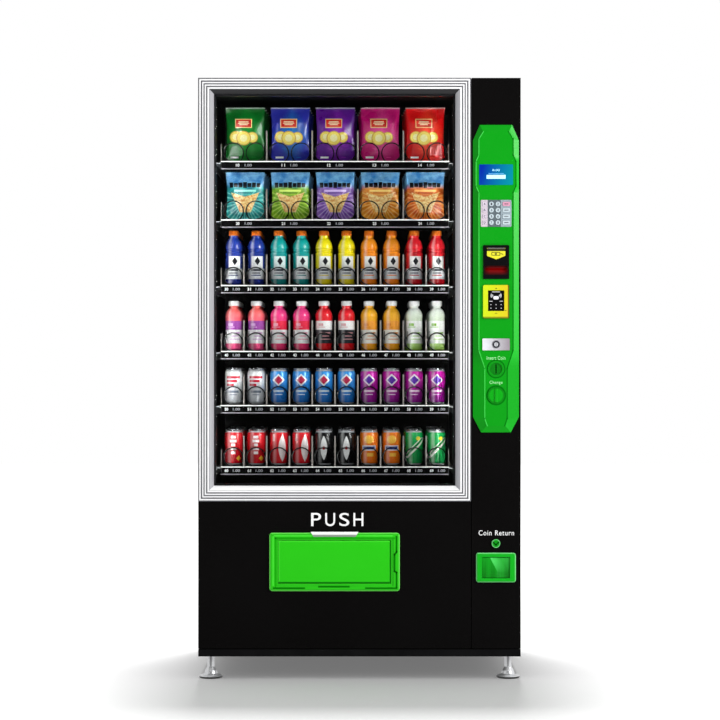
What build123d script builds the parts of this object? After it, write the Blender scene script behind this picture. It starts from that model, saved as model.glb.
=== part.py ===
from build123d import *
import math
import os

# Spiral snack and drink vending machine. All sizes in millimetres.
# +X is the customer's right, -Y is the front, +Z is up.
# The origin is the middle of the footprint, at floor level.

# ---------------------------------------------------------------- driving dimensions
WIDTH = 1040
DEPTH = 800
HEIGHT = 1940
FOOT_HEIGHT = 74
PLINTH_HEIGHT = 23
SHEET = 2

LEFT = -WIDTH / 2
RIGHT = WIDTH / 2
BACK = DEPTH / 2
FRONT = -DEPTH / 2
PLINTH_TOP = FOOT_HEIGHT + PLINTH_HEIGHT

# Front-to-back planes, from the customer inwards
DOOR_FACE = FRONT + 18
DOOR_SKIN = 3
SKIN_DEPTH = 20
FRAME_FACE = DOOR_FACE + SKIN_DEPTH
DOOR_BACK = -300
CABINET_FRONT = -296
DOOR_BOTTOM = PLINTH_TOP + 3

# Window and the column beside it
WINDOW_LEFT = -471
WINDOW_RIGHT = 309
WINDOW_BOTTOM = 624
WINDOW_TOP = 1890
TRIM_WIDTH = 50
TRIM_STEPS = 5
TRIM_STEP_DEPTH = 4
TRIM_FACE = DOOR_FACE - 4
TRIM_LEFT = LEFT
TRIM_RIGHT = WINDOW_RIGHT + 51
TRIM_BOTTOM = WINDOW_BOTTOM - TRIM_WIDTH
GLASS_THICK = 4
GLASS_LAP = 4
OUTER_GLASS_Y = FRAME_FACE + 1
GLASS_GAP = 14
COLUMN_LEFT = TRIM_RIGHT + 2

# Door hinge line, on the customer's left
HINGE_X = -508
HINGE_Y = -330
HINGE_PIN_R = 6
HINGE_LEVELS = (240, 1020, 1800)
KNUCKLE_HALF = 18
NOTCH_HALF = 20
RUNNING_GAP = 0.05

# Product compartment
LINER_LEFT = -478
LINER_RIGHT = 316
LINER_BOTTOM = 295
LINER_TOP = 1903
LINER_BACK = 338
DECK_TOP = 268
BAY_WALL_X = 348
SHELL_BACK = BACK - SHEET

# Trays and spirals
TRAY_LEVELS = (1688, 1495, 1278, 1060, 881, 678)
TRAY_SLOTS = (5, 5, 10, 10, 10, 10)
TRAY_LEFT = -458
TRAY_RIGHT = 296
TRAY_FRONT = -203
TRAY_BACK = 290
TRAY_SHEET = 1.5
FLOOR_DROP = 3
RAIL_HEIGHT = 27
RAIL_LIP = 3
TRAY_WALL = 60
DIVIDER_REAR = 52
DIVIDER_FRONT = 104
MOTOR_FRONT = 232
PITCH = 70
COIL_TURNS = 5.75
COIL_BACK = 210
WIRE = 4
TWIN_RADIUS = 32
TWIN_OFFSET = 36.5
SINGLE_RADIUS = 30
COIL_CLEARANCE = 1.5
SHAFT_R = 4
TURNING_SNACK_SLOT = 2
TURNING_DRINK_SLOT = 4
BAG_SIZE = (122, 28)
BAG_HEIGHTS = (186, 166)
BAG_FOOT = (112, 12, 76)
BAGS_IN_ROW = 4

# Control column
COLUMN_X = 440
FASCIA_BACK = DOOR_FACE
FASCIA_EDGE = DOOR_FACE - 3
FASCIA_FACE = DOOR_FACE - 10
DISPLAY = (109, 66, 1627)
KEYPAD = (99, 87, 1502.5)
BILL = (84, 109, 1345.5)
READER = (84, 107, 1218)
LOCK_PLATE = (88, 38, 1080.5)
LOCK_R = 11
COIN_Z = 1001.5
COIN_R = 26
KNOB_Z = 916.5
KNOB_R = 27
KNOB_SHAFT_R = 6
BUTTON_Z = 439
BUTTON_R = 14
CUP = (128, 95, 361.5)
CUP_MOUTH = (90, 68)

# Delivery opening
BEZEL = (420, 188, 379.5)
BEZEL_X = -80
MOUTH = (364, 140, 380)
FLAP_AXIS_DROP = 4
FLAP_THICK = 4
FLAP_ROD_R = 2.5
FLAP_AXIS_Y = DOOR_FACE - 3.5
BIN_TOP = 560

# Cooling deck
FAN_X = 100
FAN_Z = 182
FAN_R = 62


# ---------------------------------------------------------------- helpers
def block(x0, x1, y0, y1, z0, z1):
    """A box between two corners."""
    middle = Pos((x0 + x1) / 2, (y0 + y1) / 2, (z0 + z1) / 2)
    return middle * Box(x1 - x0, y1 - y0, z1 - z0)


def slab(sketch, x, z, y_front, y_back):
    """A sketch drawn as seen from the front, made solid from y_front to y_back."""
    plane = Plane(origin=(x, y_back, z), x_dir=(1, 0, 0), z_dir=(0, -1, 0))
    return extrude(plane * sketch, y_back - y_front)


def rod_y(x, z, radius, y0, y1):
    """A round bar along Y."""
    return Pos(x, (y0 + y1) / 2, z) * Rot(90, 0, 0) * Cylinder(radius, y1 - y0)


def rod_x(y, z, radius, x0, x1):
    """A round bar along X."""
    return Pos((x0 + x1) / 2, y, z) * Rot(0, 90, 0) * Cylinder(radius, x1 - x0)


def rod_z(x, y, radius, z0, z1):
    """A round bar along Z."""
    return Pos(x, y, (z0 + z1) / 2) * Cylinder(radius, z1 - z0)


def pan(x0, x1, z0, z1, y_front, y_back, wall):
    """A folded sheet panel: a face with returns on all four sides, open behind."""
    outer = block(x0, x1, y_front, y_back, z0, z1)
    inner = block(x0 + wall, x1 - wall, y_front + wall, y_back, z0 + wall, z1 - wall)
    return outer - inner


def union(shapes):
    """All shapes as one fused solid."""
    result = shapes[0]
    for shape in shapes[1:]:
        result = result + shape
    return result


def write(node, shape):
    """One STEP file per sub-part."""
    export_step(shape, os.path.join("parts", node + ".step"))


def group(shapes):
    """Separate solids kept together in one node."""
    solids = []
    for shape in shapes:
        solids.extend(shape.solids())
    return Compound(children=solids)


# ---------------------------------------------------------------- cabinet
def cabinet_shell():
    """Welded outer wrap with front and rear flanges, the bay wall and the machine deck."""
    flange = 22
    wrap = block(LEFT, RIGHT, CABINET_FRONT, SHELL_BACK, PLINTH_TOP, HEIGHT)
    wrap -= block(LEFT + SHEET, RIGHT - SHEET, CABINET_FRONT + SHEET, SHELL_BACK - SHEET,
                  PLINTH_TOP + SHEET, HEIGHT - SHEET)
    wrap -= block(LEFT + flange, RIGHT - flange, CABINET_FRONT, CABINET_FRONT + SHEET,
                  PLINTH_TOP + flange, HEIGHT - flange)
    wrap -= block(LEFT + flange, RIGHT - flange, SHELL_BACK - SHEET, SHELL_BACK,
                  PLINTH_TOP + flange, HEIGHT - flange)
    wall = block(BAY_WALL_X, BAY_WALL_X + SHEET, CABINET_FRONT, SHELL_BACK,
                 PLINTH_TOP, HEIGHT)
    deck = block(LEFT, BAY_WALL_X, CABINET_FRONT, SHELL_BACK, DECK_TOP - SHEET, DECK_TOP)
    return wrap + wall + deck


def base_frame():
    """Plinth: a pan with a channel-section ring below it, and a square block over each foot."""
    rail, wall, half = 40, 3, 37
    front = DOOR_FACE + 2
    top = PLINTH_TOP - wall
    plinth = block(LEFT, RIGHT, front, SHELL_BACK, FOOT_HEIGHT, PLINTH_TOP)
    plinth -= block(LEFT + rail, RIGHT - rail, front + rail, SHELL_BACK - rail, FOOT_HEIGHT, top)
    channel = block(LEFT + wall, RIGHT - wall, front + wall, SHELL_BACK - wall, FOOT_HEIGHT, top)
    inner = rail - wall
    channel -= block(LEFT + inner, RIGHT - inner, front + inner, SHELL_BACK - inner,
                     FOOT_HEIGHT, top)
    plinth -= channel
    for side in (-1, 1):
        for y in foot_rows():
            x = side * foot_x()
            plinth += block(x - half, x + half, y - half, y + half, FOOT_HEIGHT, PLINTH_TOP - 1)
    return plinth


def foot_x():
    """Distance of each foot from the middle, so its pad ends at the side of the cabinet."""
    return RIGHT - 38


def foot_rows():
    return (-335, 355)


def levelling_feet():
    """Turned stem, bell and floor pad, four alike."""
    profile = Polyline((0, 0), (36, 0), (38, 2), (38, 6), (35, 9), (24, 11), (21, 14),
                       (19, 24), (14, 32), (11.5, 36), (11.5, FOOT_HEIGHT), (0, FOOT_HEIGHT),
                       close=True)
    foot = revolve(Plane.XZ * make_face(profile), Axis.Z)
    feet = []
    for x in (-foot_x(), foot_x()):
        for y in foot_rows():
            feet.append(Pos(x, y, 0) * foot)
    return group(feet)


def inner_liner():
    """Five-sided liner of the product compartment, with a front flange."""
    outer = block(LINER_LEFT - SHEET, LINER_RIGHT + SHEET, CABINET_FRONT, LINER_BACK + SHEET,
                  LINER_BOTTOM - SHEET, LINER_TOP + SHEET)
    flange = block(LEFT + 22, BAY_WALL_X, CABINET_FRONT, CABINET_FRONT + SHEET,
                   DECK_TOP, HEIGHT - 22)
    cavity = block(LINER_LEFT, LINER_RIGHT, CABINET_FRONT, LINER_BACK, LINER_BOTTOM, LINER_TOP)
    return outer + flange - cavity


def insulation_foam():
    """Foam between the shell and the liner."""
    front = CABINET_FRONT + SHEET
    foam = block(LEFT + SHEET, BAY_WALL_X, front, SHELL_BACK - SHEET, DECK_TOP, HEIGHT - SHEET)
    return foam - block(LINER_LEFT - SHEET, LINER_RIGHT + SHEET, front, LINER_BACK + SHEET,
                        LINER_BOTTOM - SHEET, LINER_TOP + SHEET)


def rear_panel():
    """Screwed back cover with a louvred grille over the cooling deck."""
    inset = 6
    panel = block(LEFT + inset, RIGHT - inset, SHELL_BACK, BACK, PLINTH_TOP + inset, HEIGHT - inset)
    for row in range(7):
        z = 128 + row * 18
        panel -= block(-80, 280, SHELL_BACK, BACK, z, z + 8)
    panel -= block(392, 448, SHELL_BACK, BACK, 148, 182)
    return panel


def tray_runners():
    """A folded ledge on each side wall for every tray."""
    rails = []
    for level in TRAY_LEVELS:
        ledge = level - FLOOR_DROP - TRAY_SHEET - 0.5
        for wall, reach in ((LINER_LEFT, 34), (LINER_RIGHT, -34)):
            side = wall + math.copysign(SHEET, reach)
            foot = block(min(wall, wall + reach), max(wall, wall + reach), -190, 300,
                         ledge - SHEET, ledge)
            web = block(min(wall, side), max(wall, side), -190, 300, ledge - 26, ledge)
            rails.append(foot + web)
    return group(rails)


def air_duct():
    """Cold-air riser on the back wall, with an outlet slot behind each tray."""
    x0, x1, y0, z0, z1 = -380, 220, 306, 606, 1890
    duct = block(x0, x1, y0, LINER_BACK, z0, z1)
    duct -= block(x0 + SHEET, x1 - SHEET, y0 + SHEET, LINER_BACK, z0, z1 - SHEET)
    for level in TRAY_LEVELS:
        for column in range(6):
            x = -350 + column * 95
            duct -= block(x, x + 70, y0, y0 + SHEET, level + 90, level + 102)
    return duct


def delivery_bin():
    """Catch bin under the drop zone: open on top, with a mouth towards the door."""
    x0, x1 = LINER_LEFT + 4, LINER_RIGHT - 4
    y0, y1, z0 = CABINET_FRONT + 6, -20, LINER_BOTTOM + 1
    tub = block(x0, x1, y0, y1, z0, BIN_TOP)
    tub -= block(x0 + SHEET, x1 - SHEET, y0 + SHEET, y1 - SHEET, z0 + SHEET, BIN_TOP)
    mouth = MOUTH[0] / 2 + 8
    return tub - block(BEZEL_X - mouth, BEZEL_X + mouth, y0, y0 + SHEET,
                       z0 + SHEET, MOUTH[2] + MOUTH[1] / 2 + 15)


def evaporator_unit():
    """Insulated evaporator case behind the bin, with a return grille and a fan mouth."""
    x0, x1, y0, y1, z0, z1 = -440, 280, 0, 332, LINER_BOTTOM + 1, 600
    case = block(x0, x1, y0, y1, z0, z1)
    case -= block(x0 + 8, x1 - 8, y0 + 8, y1 - 8, z0 + 8, z1 - 8)
    for row in range(8):
        z = 350 + row * 26
        case -= block(-380, 220, y0, y0 + 8, z, z + 12)
    case -= block(-300, 140, 270, 316, z1 - 8, z1)
    fins = []
    for index in range(24):
        x = -360 + index * 23
        fins.append(block(x, x + 1.5, 90, 200, z0 + 8, 520))
    return group([case] + fins)


def compressor():
    """Sealed compressor can on a foot plate, with its suction and discharge stubs."""
    x, y = -300, 220
    plate = block(x - 105, x + 105, y - 65, y + 65, PLINTH_TOP + SHEET, PLINTH_TOP + SHEET + 6)
    body = Pos(x, y, 105 + 70) * Cylinder(75, 140)
    body = fillet(body.edges().filter_by(GeomType.CIRCLE), 30)
    stubs = rod_z(x + 40, y, 5, 200, 258) + rod_z(x - 40, y, 4, 200, 252)
    return plate + body + stubs


def condenser():
    """Finned condenser block inside the rear grille, between two end plates."""
    x0, x1, y0, y1, z0, z1 = -60, 260, 346, 388, PLINTH_TOP + SHEET, 258
    plates = [block(x0, x0 + 3, y0, y1, z0, z1), block(x1 - 3, x1, y0, y1, z0, z1)]
    tubes = []
    for row in range(5):
        tubes.append(rod_x((y0 + y1) / 2, z0 + 20 + row * 28, 4, x0 + 3, x1 - 3))
    fins = []
    for index in range(40):
        x = x0 + 10 + index * 7.5
        fins.append(block(x, x + 1, y0 + 2, y1 - 2, z0 + 2, z1 - 4))
    return union(plates + tubes + fins)


def fan_shroud():
    """Plate with a round throat and a motor held on four arms."""
    y0, y1 = 334, 338
    z0, z1 = PLINTH_TOP + SHEET, 262
    plate = block(FAN_X - 110, FAN_X + 110, y0, y1, z0, z1)
    plate -= rod_y(FAN_X, FAN_Z, FAN_R + 6, y0, y1)
    arm = block(FAN_X - 4, FAN_X + 4, y0, y1, FAN_Z + 18, FAN_Z + FAN_R + 8)
    motor = rod_y(FAN_X, FAN_Z, 22, 300, y1)
    shaft = rod_y(FAN_X, FAN_Z, SHAFT_R, 284, 302)
    arms = []
    for quarter in range(4):
        turn = Location((FAN_X, 0, FAN_Z)) * Rot(0, 45 + 90 * quarter, 0) * Location((-FAN_X, 0, -FAN_Z))
        arms.append(turn * arm)
    return union([plate, motor, shaft] + arms)


def condenser_fan():
    """Five pitched blades on a hub that runs on the motor shaft."""
    hub = rod_y(FAN_X, FAN_Z, 18, 272, 296) - rod_y(FAN_X, FAN_Z, SHAFT_R + RUNNING_GAP, 283, 297)
    blades = []
    for index in range(5):
        blade = Pos(0, 0, 38) * Rot(0, 0, 32) * Box(30, 1.6, 48)
        blades.append(Pos(FAN_X, 284, FAN_Z) * Rot(0, 72 * index, 0) * blade)
    return union([hub] + blades)


def control_box():
    """Power and control electronics in the side bay, with cable glands below."""
    box = block(362, 500, 40, 220, 900, 1320)
    box = fillet(box.edges().filter_by(Axis.Z), 6)
    glands = []
    for index in range(3):
        glands.append(rod_z(395 + index * 36, 130, 10, 884, 901))
    return union([box] + glands)


def power_inlet():
    """Appliance inlet set in the rear panel, with three contact blades in its well."""
    x, z = 420, 165
    body = block(x - 28, x + 28, SHELL_BACK - 30, BACK, z - 17, z + 17)
    body -= block(x - 22, x + 22, BACK - 16, BACK, z - 11, z + 11)
    blades = []
    for dx, dz in ((-7, -3), (7, -3), (0, 4)):
        blades.append(block(x + dx - 1, x + dx + 1, BACK - 17, BACK - 4, z + dz - 3, z + dz + 3))
    return union([body] + blades)


def hinge_brackets():
    """Cabinet half of each door hinge: an arm from the front flange round the pin."""
    arms = []
    for level in HINGE_LEVELS:
        low, high = level - KNUCKLE_HALF, level + KNUCKLE_HALF
        arm = block(HINGE_X - 10, HINGE_X + 10, HINGE_Y, CABINET_FRONT, low, high)
        knuckle = rod_z(HINGE_X, HINGE_Y, 10, low, high)
        arms.append(arm + knuckle - rod_z(HINGE_X, HINGE_Y, HINGE_PIN_R, low, high))
    return group(arms)


def hinge_pins():
    """Steel pins, held in the brackets, that the door turns on."""
    pins = []
    for level in HINGE_LEVELS:
        pins.append(rod_z(HINGE_X, HINGE_Y, HINGE_PIN_R, level - 38, level + 38))
    return group(pins)


def lock_strike():
    """Channel behind the right-hand front flange that the cam swings behind."""
    x0, x1 = 498, RIGHT - SHEET
    y0 = CABINET_FRONT + SHEET
    return block(x0, x1, y0, y0 + 2, 1040, 1121) + block(x1 - 3, x1, y0, y0 + 30, 1040, 1121)


# ---------------------------------------------------------------- door structure
def bars(shrink):
    """The welded bars of the door frame, made smaller by shrink all round."""
    edges = (
        (LEFT, WINDOW_LEFT - GLASS_LAP, DOOR_BOTTOM, HEIGHT),
        (WINDOW_RIGHT + GLASS_LAP, BAY_WALL_X + 4, DOOR_BOTTOM, HEIGHT),
        (RIGHT - 24, RIGHT, DOOR_BOTTOM, HEIGHT),
        (LEFT, RIGHT, WINDOW_TOP + GLASS_LAP, HEIGHT),
        (LEFT, RIGHT, DOOR_BOTTOM, DOOR_BOTTOM + 40),
        (LEFT, BAY_WALL_X + 4, TRIM_BOTTOM, WINDOW_BOTTOM - GLASS_LAP),
        (LEFT, BAY_WALL_X + 4, 255, 295),
    )
    solids = []
    for x0, x1, z0, z1 in edges:
        solids.append(block(x0 + shrink, x1 - shrink, FRAME_FACE + shrink, DOOR_BACK - shrink,
                            z0 + shrink, z1 - shrink))
    return union(solids)


def door_frame():
    """Welded tube frame of the door with hinge blocks and the inner skin of the lower part."""
    frame = bars(0) - bars(SHEET)
    for level in HINGE_LEVELS:
        frame += block(LEFT, LEFT + 28, HINGE_Y - 18, DOOR_BACK, level - 42, level + 42)
        frame -= block(LEFT, HINGE_X + 12, HINGE_Y - 16, DOOR_BACK,
                       level - NOTCH_HALF, level + NOTCH_HALF)
        frame -= rod_z(HINGE_X, HINGE_Y, HINGE_PIN_R + RUNNING_GAP, level - 40, level + 40)
    skin = block(WINDOW_LEFT - GLASS_LAP - 1, WINDOW_RIGHT + GLASS_LAP + 1,
                 DOOR_BACK - SHEET, DOOR_BACK, 294, TRIM_BOTTOM + 1)
    half = MOUTH[0] / 2 + 4
    skin -= block(BEZEL_X - half, BEZEL_X + half, DOOR_BACK - SHEET, DOOR_BACK,
                  MOUTH[2] - MOUTH[1] / 2 - 4, MOUTH[2] + MOUTH[1] / 2 + 4)
    return frame + skin


def lower_panel():
    """Black panel under the window, cut out for the delivery chute."""
    panel = pan(LEFT, TRIM_RIGHT, DOOR_BOTTOM, TRIM_BOTTOM, DOOR_FACE, FRAME_FACE, DOOR_SKIN)
    half = MOUTH[0] / 2 + 4
    return panel - block(BEZEL_X - half, BEZEL_X + half, DOOR_FACE, DOOR_FACE + DOOR_SKIN,
                         MOUTH[2] - MOUTH[1] / 2 - 4, MOUTH[2] + MOUTH[1] / 2 + 4)


def column_panel():
    """Black full-height panel of the control column, with its device openings."""
    panel = pan(COLUMN_LEFT, RIGHT, DOOR_BOTTOM, HEIGHT, DOOR_FACE, FRAME_FACE, DOOR_SKIN)
    face = DOOR_FACE + DOOR_SKIN
    panel -= block(COLUMN_X - 60, COLUMN_X + 60, DOOR_FACE, face, 850, 1700)
    half = CUP_MOUTH[0] / 2 + 3
    panel -= block(COLUMN_X - half, COLUMN_X + half, DOOR_FACE, face,
                   CUP[2] - CUP_MOUTH[1] / 2 - 3, CUP[2] + CUP_MOUTH[1] / 2 + 3)
    return panel - rod_y(COLUMN_X, BUTTON_Z, BUTTON_R + 0.3, DOOR_FACE, face)


def window_trim():
    """Stepped, mitred extrusion round the window, falling towards the glass."""
    back = FRAME_FACE - 2
    trim = block(TRIM_LEFT, TRIM_RIGHT, TRIM_FACE, back, TRIM_BOTTOM, HEIGHT)
    for step in range(1, TRIM_STEPS):
        inset = step * TRIM_WIDTH / TRIM_STEPS
        trim -= block(TRIM_LEFT + inset, TRIM_RIGHT - inset, TRIM_FACE,
                      TRIM_FACE + step * TRIM_STEP_DEPTH, TRIM_BOTTOM + inset, HEIGHT - inset)
    return trim - block(WINDOW_LEFT, WINDOW_RIGHT, TRIM_FACE, back, WINDOW_BOTTOM, WINDOW_TOP)


def glass_pane(y_front):
    """One toughened pane, a little smaller than the frame opening."""
    gap = GLASS_LAP - 0.5
    return block(WINDOW_LEFT - gap, WINDOW_RIGHT + gap, y_front, y_front + GLASS_THICK,
                 WINDOW_BOTTOM - gap, WINDOW_TOP + gap)


def inner_glass_y():
    return OUTER_GLASS_Y + GLASS_THICK + GLASS_GAP


def glazing_spacer():
    """Spacer bar that keeps the two panes apart."""
    gap = GLASS_LAP - 0.5
    y0, y1 = OUTER_GLASS_Y + GLASS_THICK, inner_glass_y()
    ring = block(WINDOW_LEFT - gap, WINDOW_RIGHT + gap, y0, y1, WINDOW_BOTTOM - gap, WINDOW_TOP + gap)
    return ring - block(WINDOW_LEFT + 6, WINDOW_RIGHT - 6, y0, y1, WINDOW_BOTTOM + 6, WINDOW_TOP - 6)


def door_gasket():
    """Magnetic seal on the back of the door, round the compartment."""
    y1 = CABINET_FRONT - 0.4
    ring = block(-498, 346, DOOR_BACK, y1, 268, 1914)
    return ring - block(-484, 332, DOOR_BACK, y1, 282, 1900)


def light_strips():
    """Lamp strips on both sides of the window opening."""
    strips = []
    for x in (WINDOW_LEFT - GLASS_LAP, WINDOW_RIGHT + GLASS_LAP - 9):
        strips.append(block(x, x + 9, -330, -316, WINDOW_BOTTOM + 16, WINDOW_TOP - 16))
    return group(strips)


# ---------------------------------------------------------------- control column
def outline(points, y):
    """A closed face symmetric about the column's centre line, from half-widths and heights."""
    right = [(COLUMN_X + half, y, z) for half, z in points]
    left = [(COLUMN_X - half, y, z) for half, z in reversed(points)]
    return make_face(Polyline(*(right + left), close=True))


def control_fascia():
    """Faceted green cover with a raised spine, cut out for each device."""
    edge = ((48, 797), (74, 847), (74, 1004), (74, 1061), (74, 1570), (74, 1590),
            (74, 1670), (74, 1690), (74, 1738), (52, 1788))
    spine = ((30, 818), (38, 842), (38, 1004), (57, 1061), (57, 1570), (66, 1590),
             (66, 1670), (57, 1690), (57, 1742), (42, 1766))
    base = extrude(outline(edge, FASCIA_BACK), FASCIA_BACK - FASCIA_EDGE, dir=(0, -1, 0))
    raised = loft([outline(edge, FASCIA_EDGE), outline(spine, FASCIA_FACE)], ruled=True)
    fascia = base + raised
    for width, height, z in (DISPLAY, KEYPAD, BILL, READER, LOCK_PLATE):
        fascia -= block(COLUMN_X - width / 2, COLUMN_X + width / 2, FRONT, FASCIA_BACK,
                        z - height / 2, z + height / 2)
    fascia -= rod_y(COLUMN_X, COIN_Z, COIN_R, FRONT, FASCIA_BACK)
    return fascia - rod_y(COLUMN_X, KNOB_Z, KNOB_SHAFT_R + RUNNING_GAP, FRONT, FASCIA_BACK)


def display_screen():
    """Text display module with a glass front."""
    width, height, z = DISPLAY
    body = slab(RectangleRounded(width, height, 3), COLUMN_X, z, FASCIA_FACE - 1.5, FRAME_FACE)
    return body + block(COLUMN_X - 48, COLUMN_X + 48, FRAME_FACE - 1, FRAME_FACE + 22, z - 28, z + 28)


def key_places():
    """Centre, width, height and shape of each key, by column."""
    places = []
    for row in range(4):
        z = KEYPAD[2] + 30 - row * 20
        places.append((COLUMN_X - 37, z, 13, "bar"))
        places.append((COLUMN_X - 15, z, 15, "round"))
        places.append((COLUMN_X + 6, z, 15, "round"))
        places.append((COLUMN_X + 33, z, 24, "bar"))
    return places


def key_sketch(width, shape, grow):
    """Front outline of one key."""
    if shape == "round":
        return Circle(width / 2 + grow)
    return RectangleRounded(width + 2 * grow, 13 + 2 * grow, 3)


KEY_FACE = FASCIA_FACE - 5


def keypad_plate():
    """Bevelled metal keypad plate with a hole for each key."""
    width, height, z = KEYPAD
    plate = slab(RectangleRounded(width, height, 4), COLUMN_X, z, FASCIA_FACE - 3, FASCIA_FACE + 8)
    plate = chamfer(plate.faces().sort_by(Axis.Y)[0].edges(), 1.5)
    for x, key_z, size, shape in key_places():
        plate -= slab(key_sketch(size, shape, 0.4), x, key_z, FRONT, FASCIA_FACE + 8)
    return plate


def keypad_keys():
    """Sixteen keys that travel in the plate."""
    keys = []
    for x, z, size, shape in key_places():
        keys.append(slab(key_sketch(size, shape, 0), x, z, KEY_FACE, FASCIA_FACE + 6))
    return group(keys)


def bill_acceptor():
    """Note acceptor: a nose with a funnel mouth, and its stacker box behind."""
    width, height, z = BILL
    nose = slab(RectangleRounded(width, height, 4), COLUMN_X, z, FRONT + 3, FASCIA_BACK + 2)
    body = block(COLUMN_X - 40, COLUMN_X + 40, FASCIA_BACK, -302, z - 50, z + 50)
    funnel = block(COLUMN_X - 36, COLUMN_X + 36, FRONT, FRONT + 12, z - 34, z - 12)
    slot = block(COLUMN_X - 34, COLUMN_X + 34, FRONT + 11, -330, z - 27, z - 19)
    return nose + body - funnel - slot


def card_reader():
    """Contactless reader: a thick rounded surround with a recessed screen."""
    width, height, z = READER
    body = slab(RectangleRounded(width, height, 5), COLUMN_X, z, FRONT + 2, FASCIA_BACK + 30)
    body -= slab(RectangleRounded(52, 66, 3), COLUMN_X, z + 3, FRONT + 2, FRONT + 6)
    return body


def lock_plate():
    """Escutcheon of the door lock."""
    width, height, z = LOCK_PLATE
    plate = slab(RectangleRounded(width, height, 3), COLUMN_X, z, FASCIA_FACE - 3, FASCIA_BACK)
    return plate - rod_y(COLUMN_X, z, LOCK_R + RUNNING_GAP, FRONT, FASCIA_BACK)


def lock_barrel():
    """Key cylinder with its tail shaft."""
    z = LOCK_PLATE[2]
    barrel = rod_y(COLUMN_X, z, LOCK_R, FASCIA_FACE - 5, -306) + rod_y(COLUMN_X, z, 6, -307, -286)
    return barrel - block(COLUMN_X - 1, COLUMN_X + 1, FASCIA_FACE - 6, FASCIA_FACE - 1, z - 6, z + 6)


def lock_cam():
    """Cam on the tail of the lock; upright when unlocked."""
    z = LOCK_PLATE[2]
    cam = block(COLUMN_X - 9, COLUMN_X + 9, -291, -287, z - 10, z + 70)
    return cam - rod_y(COLUMN_X, z, 6, -292, -286)


def coin_slot():
    """Round coin entry with an upright slit."""
    ring = rod_y(COLUMN_X, COIN_Z, COIN_R, FASCIA_FACE - 2, FASCIA_BACK + 6)
    ring -= rod_y(COLUMN_X, COIN_Z, COIN_R - 6, FASCIA_FACE - 2, FASCIA_FACE + 2)
    return ring - block(COLUMN_X - 1.8, COLUMN_X + 1.8, FASCIA_FACE, FASCIA_BACK + 6,
                        COIN_Z - 15, COIN_Z + 15)


def change_knob():
    """Turn knob with a raised blade, on a shaft through the fascia."""
    disc = rod_y(COLUMN_X, KNOB_Z, KNOB_R, FASCIA_FACE - 3.4, FASCIA_FACE - 0.4)
    blade = block(COLUMN_X - 5, COLUMN_X + 5, FRONT, FASCIA_FACE - 3, KNOB_Z - 22, KNOB_Z + 22)
    blade = chamfer(blade.faces().sort_by(Axis.Y)[0].edges().filter_by(Axis.Z), 2.5)
    shaft = rod_y(COLUMN_X, KNOB_Z, KNOB_SHAFT_R, FASCIA_FACE - 1, FASCIA_BACK + 12)
    return disc + blade + shaft


def coin_mechanism():
    """Coin changer and its return chute, inside the door column."""
    changer = block(COLUMN_X - 48, COLUMN_X + 40, -356, -250, 640, 880)
    changer = fillet(changer.edges().filter_by(Axis.Y), 8)
    chute = block(COLUMN_X - 18, COLUMN_X + 18, -352, -324, CUP[2] + 41, 645)
    return changer + chute - block(COLUMN_X - 14, COLUMN_X + 14, -348, -328, CUP[2] + 40, 640)


def coin_return_cup():
    """Green rounded surround with the cup behind it."""
    width, height, z = CUP
    wide, tall = CUP_MOUTH
    front = slab(RectangleRounded(width, height, 8), COLUMN_X, z, DOOR_FACE - 9, DOOR_FACE)
    front = chamfer(front.faces().sort_by(Axis.Y)[0].edges(), 4)
    cup = block(COLUMN_X - wide / 2 - 2.5, COLUMN_X + wide / 2 + 2.5, DOOR_FACE - 1, -308,
                z - tall / 2 - 2.5, z + tall / 2 + 2.5)
    cavity = block(COLUMN_X - wide / 2, COLUMN_X + wide / 2, FRONT, -310, z - tall / 2, z + tall / 2)
    axis_z = z + tall / 2 - FLAP_AXIS_DROP
    pins = rod_x(FLAP_AXIS_Y, axis_z, 2 + RUNNING_GAP, COLUMN_X - wide / 2 - 6, COLUMN_X + wide / 2 + 6)
    chute = block(COLUMN_X - 14, COLUMN_X + 14, -348, -328, z + tall / 2 - 1, z + tall / 2 + 4)
    return front + cup - cavity - pins - chute


def small_flap(width, height, z, thick, rod_r, x, rod_reach):
    """A flap hung on a rod along its top edge."""
    axis_z = z + height / 2 - FLAP_AXIS_DROP
    y = FLAP_AXIS_Y
    leaf = block(x - width / 2 + 1, x + width / 2 - 1, y - thick / 2, y + thick / 2,
                 z - height / 2 + 1.5, axis_z + 1)
    curl = rod_x(y, axis_z, thick / 2 + 0.6, x - width / 2 + 1, x + width / 2 - 1)
    rod = rod_x(y, axis_z, rod_r, x - width / 2 - rod_reach, x + width / 2 + rod_reach)
    return leaf + curl + rod


def coin_return_flap():
    """Clear flap over the coin cup."""
    return small_flap(CUP_MOUTH[0], CUP_MOUTH[1], CUP[2], 3, 2, COLUMN_X, 5)


def return_button():
    """Push button above the coin cup."""
    cap = rod_y(COLUMN_X, BUTTON_Z, BUTTON_R, DOOR_FACE - 6, DOOR_FACE + 14)
    return fillet(cap.faces().sort_by(Axis.Y)[0].edges(), 1.5)


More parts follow.
